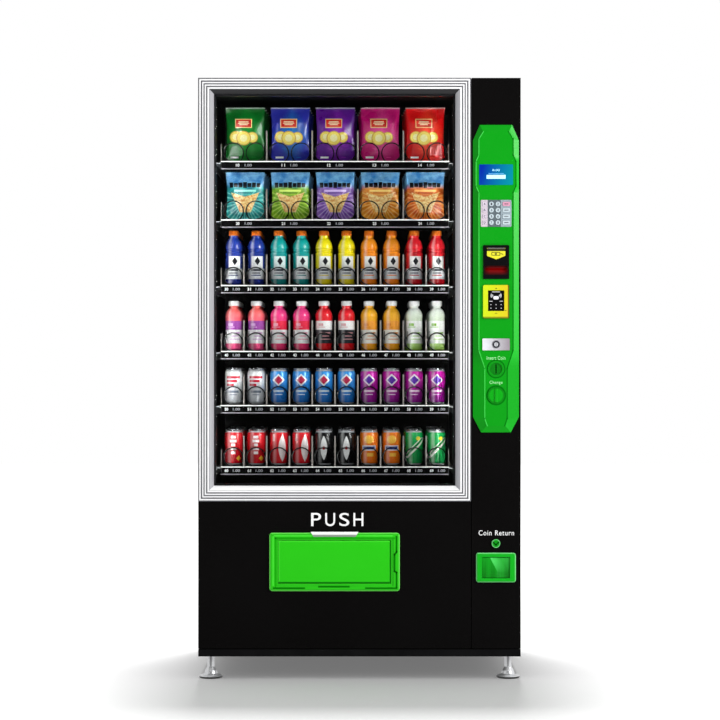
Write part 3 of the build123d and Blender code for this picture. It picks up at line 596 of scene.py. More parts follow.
# ---------------------------------------------------------------- window trim
def trim_section():
    """The extrusion's section: (inset from the outer edge, depth, what the strip after it is)."""
    section = [(0.0, TRIM_HIGH.y, "groove"), (0.0, TRIM_LOW.y + GROOVE_DEPTH, "groove")]
    face = TRIM_LOW.y
    for left, right in RIBS:
        middle = (left + right) / 2
        section += [(left - 0.0012, face + GROOVE_DEPTH * 0.7, "flank"), (left, face + 0.0006, "rib"),
                    (middle, face, "rib"), (right, face + 0.0006, "flank"),
                    (right + 0.0012, face + GROOVE_DEPTH * 0.7, "groove")]
        face += RIB_FALL
    section[-1] = (RIBS[-1][1] + 0.0012, face - RIB_FALL + 0.0012, "bevel")
    section += [(TRIM_WIDTH - 0.0004, TRIM_HIGH.y - 0.003, "bevel"),
                (TRIM_WIDTH, TRIM_HIGH.y - 0.002, "groove"), (TRIM_WIDTH, TRIM_HIGH.y, "groove")]
    return section


def window_frame():
    """Ribbed, mitred extrusion with a bevel down to the glass, with painted shade on its grooves, flanks
    and bevels.
    """
    mesh = Mesh()
    section = trim_section()
    rows = []
    for inset, y, kind in section + section[:1]:
        right = TRIM_HIGH.x - inset
        rows.append([Vector((TRIM_LOW.x + inset, y, TRIM_LOW.z + inset)),
                     Vector((right, y, TRIM_LOW.z + inset)),
                     Vector((right, y, TRIM_HIGH.z - inset)),
                     Vector((TRIM_LOW.x + inset, y, TRIM_HIGH.z - inset))])
    kinds = [kind for inset, y, kind in section]
    # painted light on the bevel by side (bottom, right, top, left): silver at the bottom, painted shade
    # grey at the sides and dark at the top
    bevel_tone_by_painted_light = (0, 3, 2, 3)
    mesh.grid(rows, lambda i, j: {"rib": 0, "groove": 1, "flank": 4, "bevel": bevel_tone_by_painted_light[i]}[kinds[j]],
              closed=True)
    along = (1, 1, 0.04)
    # painted shade: darker copies of the silver for the grooves, rib flanks and the side and top bevels
    finishes = [plain(name, tone, 0.4, 0.0, 900.0, along, 0.03, 0.05, Specular_IOR_Level=0.3)
                for name, tone in (("trim_silver", "E4E4E5"), ("trim_groove_painted_shade", "4C4C50"),
                                   ("trim_top_bevel_painted_shade", "262628"), ("trim_side_bevel_painted_shade", "98989C"),
                                   ("trim_flank_painted_shade", "808084"))]
    mesh.build("window_frame", "door", finishes, "silver_trim", angle=50, replaces=["window_trim"])


# ---------------------------------------------------------------- spirals
def slot_width(slots):
    return TRAY_WIDTH / slots


def slots_in(row):
    return SNACK_SLOTS if row < SNACK_ROWS else DRINK_SLOTS


def slot_centre(slots, index):
    return TRAY_LEFT + (index + 0.5) * slot_width(slots)


def spiral_shape(radius, hand):
    """Wire spiral with its hub and shaft; hand is 1, or -1 for one that winds the other way."""
    mesh = Mesh()
    sides, steps = 8, 36
    rows = []
    total = int(COIL_TURNS * steps)
    for step in range(total + 1):
        angle = 2 * math.pi * step / steps
        out = Vector((hand * math.cos(angle), 0, math.sin(angle)))
        centre = out * radius + Vector((0, -PITCH * step / steps, 0))
        along = Vector((-hand * math.sin(angle) * radius, -PITCH / (2 * math.pi),
                        math.cos(angle) * radius)).normalized()
        side = along.cross(out)
        end = 0.6 if step in (0, total) else 1.0
        rows.append([centre + (out * math.cos(a) + side * math.sin(a)) * WIRE_R * end
                     for a in (2 * math.pi * s / sides for s in range(sides))])
    first = mesh.grid(rows, closed=True)
    mesh.cap(first, sides, flip=True)
    mesh.cap(first + total * sides, sides)
    turned = ((0.0, 0.004), (0.0025, 0.004), (0.009, 0.002), (0.009, -0.018), (0.004, -0.018),
              (0.004, -0.03))
    lathe_y(mesh, turned, 16)
    spoke = [[Vector((hand * x, 0.0022 * math.cos(a), 0.0022 * math.sin(a)))
              for a in (2 * math.pi * s / sides for s in range(sides))] for x in (0, radius)]
    mesh.grid(spoke, closed=True)
    return mesh


def placed(shape, x, y, z):
    """A copy of a mesh's points moved to a place, as a new Mesh."""
    copy = Mesh()
    shift = Vector((x, y, z))
    copy.points = [p + shift for p in shape.points]
    copy.faces = shape.faces
    return copy


def spirals(wire):
    """Every spiral that the frame doesn't already hold, riding on its tray."""
    twins = {hand: spiral_shape(TWIN_RADIUS, hand) for hand in (1, -1)}
    single = spiral_shape(SINGLE_RADIUS, 1)
    for row, level in enumerate(TRAY_LEVELS):
        floor = level - FLOOR_DROP + COIL_LIFT + WIRE_R
        for index in range(slots_in(row)):
            if row < SNACK_ROWS and index != TURNING_SNACK_SLOT:
                x = slot_centre(SNACK_SLOTS, index)
                for side, hand in (("left", 1), ("right", -1)):
                    shape = placed(twins[hand], x - hand * TWIN_OFFSET, COIL_BACK,
                                   floor + TWIN_RADIUS)
                    shape.build(f"spiral_row{row + 1}_slot{index + 1}_{side}", f"tray_{row + 1}",
                                [wire], "spiral_wire")
            elif row >= SNACK_ROWS and not (row in (2, 5) and index == TURNING_DRINK_SLOT):
                shape = placed(single, slot_centre(DRINK_SLOTS, index), COIL_BACK,
                               floor + SINGLE_RADIUS)
                shape.build(f"spiral_row{row + 1}_slot{index + 1}", f"tray_{row + 1}",
                            [wire], "spiral_wire")


# ---------------------------------------------------------------- snack packs
def smooth_step(value):
    value = min(max(value, 0.0), 1.0)
    return value * value * (3 - 2 * value)


BAG_THICK = 0.036
BAG_FOOT_THICK = 0.013
BAG_FOOT_TALL = 0.062
SEAL = 0.055
BAG_COLUMNS = 36
BAG_ROWS = 46


def bag_shape(width, height, seed):
    """Pillow pack: crimped seals with a toothed edge, pulled-in sides and creases off the seals."""
    mesh = Mesh()
    rows = []
    for j in range(BAG_ROWS + 1):
        v = j / BAG_ROWS
        z = v * height
        waist = 1 - 0.075 * math.sin(math.pi * v) ** 0.9
        body = smooth_step((v - SEAL) / 0.12) * BAG_FOOT_THICK
        body += smooth_step((z - BAG_FOOT_TALL) / 0.04) * (BAG_THICK - BAG_FOOT_THICK)
        body *= smooth_step((1 - SEAL - v) / 0.24)
        near_seal = math.exp(-max(1 - SEAL - v, 0) / 0.09) + math.exp(-max(v - SEAL, 0) / 0.09)
        in_seal = v > 1 - SEAL or v < SEAL
        row = []
        for i in range(2 * BAG_COLUMNS):
            front = i <= BAG_COLUMNS
            u = 2 * i / BAG_COLUMNS - 1 if front else 3 - 2 * i / BAG_COLUMNS
            side = -1 if front else 1
            crown = (1 - abs(u) ** 2.2) ** 0.75 if abs(u) < 1 else 0.0
            crease = 0.0013 * near_seal * math.sin(u * 13 + seed + side) * (1 - u * u)
            dent = noise.noise(Vector((u * 2.2, v * 3.1, seed + side))) * 0.0042 * crown
            ruffle = 0.0035 * math.sin(u * 4.5 + seed) * (0.35 if in_seal else 0.0)
            y = side * (0.0004 * (1 - u * u) + body * crown / 2)
            y += side * (0 if in_seal else crease * crown + dent * min(body / 0.01, 1)) + ruffle
            teeth = 0.0011 * (-1) ** i if j in (0, BAG_ROWS) else 0.0
            row.append(Vector((u * width / 2 * waist, y, z + teeth)))
        rows.append(row)

    def uv(i, j):
        i = i % (2 * BAG_COLUMNS) if i != 2 * BAG_COLUMNS else i
        return (i / BAG_COLUMNS, j / BAG_ROWS)

    first = mesh.grid(rows, uv=uv, closed=True)
    count = 2 * BAG_COLUMNS
    mesh.cap(first, count, flip=True)
    mesh.cap(first + BAG_ROWS * count, count)
    return mesh


def film(name, rough=0.3):
    return Shade(name, rough, Coat_Weight=0.35, Coat_Roughness=0.2)


CRISP_GOLD, CRISP_EDGE, CRISP_PALE = "FCE468", "D8A43C", "FFF6B4"


def crisps(shade, colour, u, v, places):
    """Round crisps with browner rims and a pale middle."""
    for x, z, radius in places:
        for share, tone in ((1.0, CRISP_EDGE), (0.88, CRISP_GOLD), (0.5, CRISP_PALE)):
            spot = shade.oval(u, v, (x, z), (radius * share, radius * share * 0.62))
            colour = shade.mix(spot, colour, tone)
    return colour


def tall_pack_material(name, dark, light):
    """Tall pack: soft glow, a banner with dashes, three crisps, small print patches, a pale top seal."""
    shade = film(name)
    u, v, _ = shade.axes("UV")
    reach = shade.plus(shade.away(u, 0.55), shade.away(v, 0.5))
    colour = shade.mix(shade.spread(reach, 0.1, 0.6, 1.0, 0.0), dark, light)
    banner = (0.46, 0.715)
    colour = shade.stamp(colour, u, v, ((banner, (0.225, 0.082), "F8D890"),
                                        (banner, (0.205, 0.066), "D8281C")))
    colour = crisps(shade, colour, u, v, ((0.24, 0.475, 0.165), (0.7, 0.47, 0.15), (0.46, 0.455, 0.2)))
    small = (((0.46, 0.74), (0.13, 0.009), "FBE9BE"), ((0.46, 0.715), (0.15, 0.007), "FBE9BE"),
             ((0.46, 0.69), (0.11, 0.008), "FBE9BE"), ((0.22, 0.12), (0.105, 0.016), "FFFFFF"),
             ((0.46, 0.255), (0.13, 0.006), light), ((0.46, 0.28), (0.17, 0.006), light),
             ((0.46, 0.21), (0.06, 0.006), light), ((0.72, 0.12), (0.06, 0.006), light),
             ((0.5, 0.055), (0.5, 0.004), light))
    colour = shade.stamp(colour, u, v, small)
    seal = shade.above(v, 1 - SEAL * 0.4)
    colour = shade.mix(shade.times(seal, 0.5), colour, "E4ECE8")
    return shade.finish(colour, 120.0, vary=0.08, bump=0.15)


def wide_pack_material(name, body, deep, pale):
    """Wide pack: sky-blue top, a row of dark blocks, rays off the foot and a plain crisp."""
    shade = film(name)
    u, v, _ = shade.axes("UV")
    cloud = shade.noise(5.0, 3.0, (1, 1.6, 1), "UV")
    rays = shade.math("SINE", shade.times(34.0, shade.math("ARCTAN2", shade.less(v, 0.42),
                                                           shade.less(u, 0.5))))
    low = shade.times(shade.below(v, 0.6), shade.spread(rays, 0.2, 0.9, 0.0, 0.5))
    colour = shade.mix(shade.spread(cloud, 0.35, 0.65, 0.0, 1.0), deep, body)
    colour = shade.mix(low, colour, pale)
    sky = shade.mix(shade.spread(cloud, 0.35, 0.65, 0.0, 1.0), "3C8CD8", "8CD0FA")
    colour = shade.mix(shade.spread(v, 0.66, 0.76, 0.0, 1.0), colour, sky)
    for x, half, tall in ((0.13, 0.05, 0.052), (0.25, 0.054, 0.042), (0.375, 0.056, 0.052),
                          (0.5, 0.052, 0.062), (0.62, 0.054, 0.042), (0.74, 0.054, 0.05),
                          (0.86, 0.05, 0.043)):
        colour = shade.mix(shade.patch(u, v, (x, 0.735), (half, tall)), colour, "08080E")
    colour = shade.stamp(colour, u, v, (((0.5, 0.62), (0.3, 0.02), pale),
                                        ((0.5, 0.575), (0.2, 0.012), deep)))
    side = shade.times(shade.away(u, 0.5), 0.9)
    chip = shade.times(shade.below(shade.plus(side, -0.12), shade.times(shade.less(v, 0.17), 0.55)),
                       shade.below(shade.plus(v, shade.times(side, -0.25)), 0.5))
    spots = shade.spread(shade.noise(16.0, 3.0, (1, 1.4, 1), "UV"), 0.42, 0.6, 0.0, 1.0)
    crisp = shade.mix(spots, "FBE29A", "E09A48")
    inside = shade.times(chip, shade.above(v, 0.19))
    return shade.finish(shade.mix(inside, colour, crisp), 120.0, vary=0.08, bump=0.15)


TALL_PACKS = (("green", "006A1E", "12902E"), ("blue", "2A2FA8", "1478C8"),
              ("purple", "5A148C", "9A2CC0"), ("magenta", "C00C6C", "F04CA0"),
              ("red", "DC0C10", "FF4A2A"))
WIDE_PACKS = (("teal", "2CB8B0", "08707A", "A0F0E4"), ("lime", "9CD024", "4E8A10", "E4FA7C"),
              ("purple", "A070C8", "5C3094", "D8C0F0"), ("orange", "F8A430", "D06810", "FFD878"),
              ("scarlet", "F88A30", "D0480C", "FFC068"))
PACK_HEIGHTS = (0.19, 0.1665)
PACK_LEAN = 0.0032
BAG_DEPTHS = [COIL_BACK - (1.5 + index) * PITCH for index in range(4)]


def gathered(shapes):
    """Several meshes as one."""
    whole = Mesh()
    for shape in shapes:
        start = len(whole.points)
        whole.points.extend(shape.points)
        for corners, number, uvs in shape.faces:
            whole.face([start + corner for corner in corners], number, uvs)
    return whole


def snack_rows():
    """Four packs in each slot of the two upper trays."""
    kinds = ((TALL_PACKS, tall_pack_material, 0.132), (WIDE_PACKS, wide_pack_material, 0.131))
    for row, (packs, maker, width) in enumerate(kinds):
        base = TRAY_LEVELS[row] - FLOOR_DROP + 0.0012
        for index, (name, *tones) in enumerate(packs):
            material = maker(f"pack_row{row + 1}_{name}", *tones)
            x = slot_centre(SNACK_SLOTS, index)
            inwards = -PACK_LEAN if x > 0 else PACK_LEAN
            shapes = [placed(bag_shape(width, PACK_HEIGHTS[row], 7 * index + 3 * depth + row),
                             x + inwards * (3 - depth), y, base) for depth, y in enumerate(BAG_DEPTHS)]
            turning = index == TURNING_SNACK_SLOT
            made = gathered(shapes).build(
                f"packs_row{row + 1}_slot{index + 1}",
                f"packs_{row + 1}" if turning else f"tray_{row + 1}", [material], "snack_film",
                angle=75, replaces=[f"snack_packs_row{row + 1}"] if turning else ())


# ---------------------------------------------------------------- bottles and cans
def lathe(mesh, profile, steps=32, material=0):
    """A turned shape about Z from (radius, height) points; UVs run round and up, front at 0.5."""
    top = profile[-1][1]
    rows = []
    for r, z in profile:
        rows.append([Vector((-r * math.sin(2 * math.pi * s / steps),
                             r * math.cos(2 * math.pi * s / steps), z)) for s in range(steps)])
    first = mesh.grid(rows, material, uv=lambda i, j: (i / steps, profile[j][1] / top), closed=True)
    mesh.cap(first, steps, flip=True, uvs=[(0.5, 0.0)] * steps)
    mesh.cap(first + (len(profile) - 1) * steps, steps, uvs=[(0.5, 1.0)] * steps)


def arc(centre, radius, start, end, steps):
    """Points of a round stretch of a profile, angles in degrees."""
    points = []
    for step in range(steps + 1):
        angle = math.radians(start + (end - start) * step / steps)
        points.append((centre[0] + radius * math.cos(angle), centre[1] + radius * math.sin(angle)))
    return points


def dome(radius, low, rise, neck, steps=8):
    """Elliptical shoulder from the full radius in to the neck."""
    last = math.acos(neck / radius)
    return [(radius * math.cos(last * i / steps), low + rise * math.sin(last * i / steps))
            for i in range(steps + 1)]


def sport_bottle():
    """Small bottle with a domed shoulder over a double groove, a short neck and a ribbed cap."""
    profile = arc((0.0195, 0.009), 0.009, -90, 0, 5)
    profile += [(0.0285, 0.02), (0.0278, 0.022), (0.0278, 0.1), (0.0285, 0.102), (0.0285, 0.106),
                (0.0255, 0.109), (0.0257, 0.112), (0.0282, 0.1135), (0.0282, 0.1155), (0.0258, 0.117),
                (0.0258, 0.1185)]
    profile += dome(0.0286, 0.1215, 0.0405, 0.0152) + [(0.0148, 0.158), (0.0148, 0.165)]
    mesh = Mesh()
    lathe(mesh, profile)
    cap = [(0.0125, 0.1645), (0.0166, 0.165), (0.0172, 0.1665), (0.0172, 0.168), (0.0166, 0.169),
           (0.0166, 0.1785), (0.0152, 0.181), (0.011, 0.182), (0.004, 0.1822)]
    lathe(mesh, cap, 48, 1)
    return mesh


def slim_bottle():
    """Round-shouldered bottle with a neck ring and a white screw cap."""
    profile = arc((0.0205, 0.0075), 0.0075, -90, 0, 5)
    profile += [(0.0282, 0.024), (0.0276, 0.026), (0.0276, 0.108), (0.0283, 0.11)]
    profile += dome(0.0284, 0.112, 0.033, 0.0135)[1:]
    profile += [(0.013, 0.145), (0.0152, 0.146), (0.0152, 0.148), (0.0138, 0.149)]
    mesh = Mesh()
    lathe(mesh, profile)
    cap = [(0.0145, 0.1485), (0.0172, 0.149), (0.0176, 0.1505), (0.0176, 0.1625), (0.0166, 0.1645),
           (0.004, 0.165)]
    lathe(mesh, cap, 48, 1)
    return mesh


def can(radius, height):
    """Drinks can with a stepped foot, a necked top and a rolled rim."""
    profile = [(radius - 0.0105, 0.002), (radius - 0.008, 0.0), (radius - 0.006, 0.0012),
               (radius - 0.001, 0.008), (radius, 0.011), (radius, height - 0.017),
               (radius - 0.0015, height - 0.012), (radius - 0.0045, height - 0.005)]
    rim = [(radius - 0.0048, height - 0.0052), (radius - 0.0036, height - 0.0035),
           (radius - 0.0036, height - 0.0008), (radius - 0.0045, height),
           (radius - 0.0055, height - 0.001), (radius - 0.006, height - 0.005),
           (0.006, height - 0.0052)]
    mesh = Mesh()
    lathe(mesh, profile)
    lathe(mesh, rim, 32, 1)
    tab = rounded(0.014, 0.022, 0.006, 4)
    start = mesh.grid([[Vector((x, z, height - 0.005)) for x, z in tab],
                       [Vector((x, z, height - 0.0035)) for x, z in tab]], 1, closed=True)
    mesh.cap(start + len(tab), len(tab), 1)
    return mesh


def printed(name, base, foot, bands, marks, rough=0.25, metal=0.0):
    """Bottle or can print: a fade from foot to top, height bands, plain shapes, painted side shade and a
    painted highlight.
    """
    shade = Shade(name, rough, metal, Coat_Weight=0.3, Coat_Roughness=0.12)
    u, v, _ = shade.axes("UV")
    colour = shade.mix(v, foot, base)
    for low, high, code in bands:
        colour = shade.mix(shade.within(v, low, high), colour, code)
    for kind, centre, size, code in marks:
        colour = shade.mix(mark_shape(shade, kind, u, v, centre, size), colour, code)
    # painted shade: darker towards both sides of the round
    side = shade.away(u, 0.5)
    colour = shade.mix(shade.spread(side, 0.13, 0.25, 0.0, 0.4), colour, "050505")
    # painted highlight: a soft pale stripe a little left of the front
    painted_highlight_offset = shade.away(u, 0.425)
    colour = shade.mix(shade.spread(painted_highlight_offset, 0.0, 0.05, 0.3, 0.0), colour, "FFFFFF")
    return shade.finish(colour, 160.0, vary=0.07, bump=0.05)


def mark_shape(shade, kind, u, v, centre, size):
    """1 inside a plain printed shape."""
    if kind == "oval":
        return shade.oval(u, v, centre, size)
    if kind == "patch":
        return shade.patch(u, v, centre, size)
    across = shade.less(u, centre[0])
    up = shade.less(v, centre[1])
    share = shade.math("DIVIDE", up, size[1])
    if kind == "diamond":
        reach = shade.times(size[0], shade.less(1.0, shade.math("ABSOLUTE", share)))
    elif kind == "lens":
        reach = shade.times(size[0], shade.less(1.0, shade.times(share, share)))
    else:
        across = shade.less(up, shade.times(across, 1.6))
        reach = size[0]
    return shade.times(shade.below(shade.math("ABSOLUTE", across), reach),
                       shade.below(shade.math("ABSOLUTE", share), 1.0))


def sport_print(name, liquid, deep, label):
    """Coloured bottle with a pale label block and plain grey lines."""
    return printed(name, liquid, deep, ((0.12, 0.33, "DCDEE2"),),
                   (("patch", (0.53, 0.455), (0.12, 0.125), label),
                    ("diamond", (0.53, 0.48), (0.055, 0.085), "26262C"),
                    ("patch", (0.5, 0.3), (0.1, 0.022), "4C5058"),
                    ("patch", (0.5, 0.24), (0.085, 0.014), "6A6E76"),
                    ("patch", (0.5, 0.195), (0.1, 0.01), deep)))


def slim_print(name, liquid, deep, band, label, ink):
    """Clear drink with a coloured band over a pale label of plain lines."""
    return printed(name, liquid, deep, ((0.155, 0.46, label), (0.46, 0.66, band)),
                   (("patch", (0.44, 0.575), (0.05, 0.03), ink),
                    ("patch", (0.44, 0.52), (0.085, 0.008), ink),
                    ("patch", (0.335, 0.33), (0.014, 0.1), "2C2A34"),
                    ("patch", (0.54, 0.39), (0.1, 0.014), ink),
                    ("patch", (0.54, 0.32), (0.07, 0.01), ink),
                    ("patch", (0.54, 0.25), (0.11, 0.008), ink)))


def can_print(name, base, foot, *marks):
    """Printed can with bare metal at its foot and neck."""
    return printed(name, base, foot, ((0.0, 0.05, "B8BABF"), (0.955, 1.0, "B8BABF")), marks, 0.25, 0.15)


def diamond_marks(middle, around, ink):
    """A diamond in a pale border, over two bars."""
    return (("diamond", (0.5, 0.7), (0.12, 0.18), around),
            ("diamond", (0.5, 0.7), (0.085, 0.125), middle), ("patch", (0.5, 0.38), (0.1, 0.028), ink),
            ("patch", (0.5, 0.28), (0.07, 0.012), ink))


SPORT = (("blue", "2440A8", "12206C", "F2F2F4"), ("teal", "14B0AC", "0A7C7C", "E4F4F2"),
         ("yellow", "FCEC14", "DCC408", "F4F4EE"), ("orange", "FF9C20", "F07808", "F6F2EE"),
         ("red", "F02430", "B80C18", "F4F0F0"))
SLIM = (("coral", "F46A60", "F0508C", "A04CA8", "F8F6F8", "D8A0DC"),
        ("pink", "F2408C", "F0306C", "E82848", "F8F6F8", "F08CA8"),
        ("red", "EC2430", "E0141C", "F6F4F4", "34343A", "E0A0A4"),
        ("yellow", "FBB828", "F8A014", "F6A030", "F8F2E8", "E08018"),
        ("clear", "F0F4F0", "9CCC4C", "F6F8F4", "F2F4F0", "8CC840"))
COLUMN = [("patch", (0.5, 0.82 - 0.115 * index), (width, 0.04), "FCF0F0")
          for index, width in enumerate((0.045, 0.06, 0.035, 0.055, 0.04))]
STEPS = [("patch", (x, z), (half, 0.035), "D8203C")
         for x, z, half in ((0.5, 0.78, 0.13), (0.47, 0.67, 0.1), (0.44, 0.56, 0.07))]
UPPER_CANS = (("silver", 2, "F4F5F7", "C8CCD4", *STEPS, ("patch", (0.5, 0.36), (0.1, 0.035), "7C8494"),
               ("patch", (0.5, 0.27), (0.07, 0.012), "7C8494")),
              ("blue", 4, "3CA0F0", "1668C4", *diamond_marks("C02850", "F2F6FA", "DCEEFC")),
              ("magenta", 4, "D420B0", "8C1090", *diamond_marks("5C2CAC", "F6E4F2", "F8D8F0")))
LOWER_CANS = (("red", 2, "E8202C", "C00C18", *COLUMN, ("diamond", (0.6, 0.2), (0.05, 0.08), "F4B830")),
              ("crimson", 2, "EC2430", "D01420", ("lens", (0.57, 0.5), (0.07, 0.4), "FFF0F0"),
               ("patch", (0.41, 0.8), (0.02, 0.1), "FFC8C8")),
              ("black", 2, "0E0E10", "08080A", ("lens", (0.5, 0.5), (0.06, 0.36), "F4F4F4"),
               ("oval", (0.5, 0.5), (0.025, 0.05), "C8202C")),
              ("orange", 2, "FF8420", "F07010", ("oval", (0.5, 0.75), (0.09, 0.12), "FFC040"),
               ("patch", (0.5, 0.5), (0.13, 0.075), "F4F4FA"),
               ("patch", (0.5, 0.5), (0.11, 0.045), "2444A4"),
               ("patch", (0.52, 0.3), (0.06, 0.05), "FFC040")),
              ("green", 2, "18B458", "067C38", ("slant", (0.5, 0.5), (0.1, 0.3), "F8FCF0"),
               ("slant", (0.5, 0.52), (0.045, 0.26), "108C40"),
               ("oval", (0.57, 0.78), (0.04, 0.06), "F4EC40")))
DRINK_DEPTHS = [COIL_BACK - (0.75 + index) * PITCH for index in range(5)]


def drink_tray(row, shape, columns, cap):
    """Five deep in every slot of one tray."""
    base = TRAY_LEVELS[row] - FLOOR_DROP + COIL_LIFT + 2 * WIRE_R
    for index, material in enumerate(columns):
        x = slot_centre(DRINK_SLOTS, index)
        shapes = [placed(shape, x, y, base) for y in DRINK_DEPTHS]
        gathered(shapes).build(f"stock_row{row + 1}_slot{index + 1}", f"tray_{row + 1}",
                               [material, cap], "bottle" if row < 4 else "can")


def drinks():
    """Two trays of bottles and two of cans."""
    orange_cap = plain("cap_orange", "F0761A", 0.35, grain=600.0)
    white_cap = plain("cap_white", "F0F0F0", 0.35, grain=600.0)
    rim = plain("can_end", "C9CBD0", 0.25, 0.9, 800.0)
    columns = []
    for name, *tones in SPORT:
        columns += [sport_print(f"sport_{name}", *tones)] * 2
    drink_tray(2, sport_bottle(), columns, orange_cap)
    columns = []
    for name, *tones in SLIM:
        columns += [slim_print(f"slim_{name}", *tones)] * 2
    drink_tray(3, slim_bottle(), columns, white_cap)
    for row, cans, radius, height in ((4, UPPER_CANS, 0.0295, 0.1195), (5, LOWER_CANS, 0.0305, 0.1185)):
        columns = []
        for name, count, *print_of in cans:
            columns += [can_print(f"can_row{row + 1}_{name}", *print_of)] * count
        drink_tray(row, can(radius, height), columns, rim)


# ---------------------------------------------------------------- ticket rails
def tickets():
    """Slot number and price tag for every slot, in the channel of the ticket rail."""
    ink = plain("ticket_ink", "DCDCDC", 0.5, grain=900.0)
    tag = plain("price_tag", "8C8C92", 0.5, grain=900.0)
    ground = plain("ticket_ground", "040405", 0.8, grain=900.0, Specular_IOR_Level=0.04)
    for row, level in enumerate(TRAY_LEVELS):
        slots = slots_in(row)
        mesh = Mesh()
        z = level - RAIL_HEIGHT / 2
        strip = moved(rounded(TRAY_WIDTH - 0.004, 0.0206, 0.001, 2), TRAY_LEFT + TRAY_WIDTH / 2, z)
        mesh.prism(strip, RAIL_FACE - 0.0006, RAIL_FACE + 0.0002, 2)
        for index in range(slots):
            x = slot_centre(slots, index)
            left, right = (-0.02, 0.015) if slots == SNACK_SLOTS else (-0.0195, 0.0135)
            write(mesh, f"{row + 1}{index % 10}", x + left, z, RAIL_FACE - 0.001, (0.0115, 0.0095), 0,
                  0.02)
            write(mesh, "1.00", x + right, z, RAIL_FACE - 0.001, (0.0235, 0.0085), 1, 0.02)
        mesh.build(f"tickets_row{row + 1}", f"tray_{row + 1}", [ink, tag, ground], "print",
                   smooth=False)


# ---------------------------------------------------------------- control column details
# Half-widths of the fascia's flat spine, from its foot up
SPINE = ((0.030, 0.818), (0.038, 0.842), (0.038, 1.004), (0.057, 1.061), (0.057, 1.570), (0.066, 1.590),
         (0.066, 1.670), (0.057, 1.690), (0.057, 1.742), (0.042, 1.766))


def column_print():
    """Words and marks on the fascia and on the panels, all in the door's body."""
    white = plain("print_white", "E4E4E4", 0.5, grain=700.0)
    pale = plain("print_pale_green", "9CE09C", 0.5, grain=700.0)
    column_x = centre_of("control_fascia").x
    coin = centre_of("coin_slot")
    mesh = Mesh()
    face = FASCIA_FACE - 0.0003
    write(mesh, "Insert Coin", column_x, coin.z + 0.0355, face, (0.06, 0.0115), 1, 0.006, spacing=1.1)
    write(mesh, "Change", column_x, coin.z - 0.0445, face, (0.042, 0.0125), 1, 0.006, spacing=1.1)
    write(mesh, "Coin Return", column_x + 0.0015, RETURN_WORDS_Z, DOOR_FACE - 0.0003, (0.114, 0.0165),
          0, 0.006, spacing=1.15)
    push_x = centre_of("push_tab").x + 0.0085
    for index, letter in enumerate("PUSH"):
        write(mesh, letter, push_x + (index - 1.5) * 0.0455, PUSH_WORD_Z, DOOR_FACE - 0.0003,
              (0.032, 0.0425), 0, 0.004)
    mesh.build("door_print", "door", [white, pale], "print", smooth=False)


def painted_shade_and_highlight_lines():
    """Painted shade and highlights along creases and edges of the fascia, the devices' recesses and the
    delivery surround.
    """
    tones = (("crease_painted_shade", "036A0C"), ("spine_edge_painted_highlight", "3CB848"), ("bezel_crease_painted_shade", "046C02"),
             ("bezel_frame_painted_shade", "149A08"), ("bezel_frame_painted_highlight", "48D838"))
    finishes = [plain(name, tone, 0.8, grain=500.0, Specular_IOR_Level=0.04) for name, tone in tones]
    mesh = Mesh()
    column_x = centre_of("control_fascia").x
    # painted shade along the spine's right crease, painted highlight along its left edge
    stripe(mesh, [(column_x + half - 0.0022, z) for half, z in SPINE], 0.0034, FASCIA_FACE, 0, 0.0002)
    stripe(mesh, [(column_x - half + 0.0018, z) for half, z in SPINE], 0.0026, FASCIA_FACE, 1, 0.0002)
    coin, knob = centre_of("coin_slot"), centre_of("change_knob")
    # painted shadow rings round the coin slot and the change knob
    ring(mesh, coin.x, coin.z, 0.0262, 0.0305, FASCIA_FACE, 0, 0.0002)
    ring(mesh, knob.x, knob.z, 0.0275, 0.0325, FASCIA_FACE, 0, 0.0002)
    low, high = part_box("delivery_bezel")
    right, foot, step = high.x - 0.0105, low.z + 0.01, 0.0062
    # painted shade in the delivery surround's creases
    for points in (((right, high.z - 0.012), (right, 0.412), (right - step, 0.404),
                    (right - step, 0.35), (right, 0.346), (right, foot + 0.004)),
                   ((low.x + 0.014, foot), (low.x + 0.112, foot)),
                   ((low.x + 0.16, foot + 0.0048), (low.x + 0.256, foot + 0.0048)),
                   ((low.x + 0.311, foot), (right, foot))):
        stripe(mesh, points, 0.0056, low.y, 2, 0.0002)
    # painted shade along the surround's inner frame, with a painted highlight line just outside it
    inner = [(low.x + 0.02, low.z + 0.012), (low.x + 0.02, high.z - 0.0165),
             (right - 0.006, high.z - 0.0165)]
    stripe(mesh, inner, 0.0045, low.y, 3, 0.0001)
    stripe(mesh, [(x - 0.008, z + 0.007) for x, z in inner], 0.003, low.y, 4, 0.0001)
    mesh.build("painted_shade_and_highlight_lines", "door", finishes, "print", smooth=False)


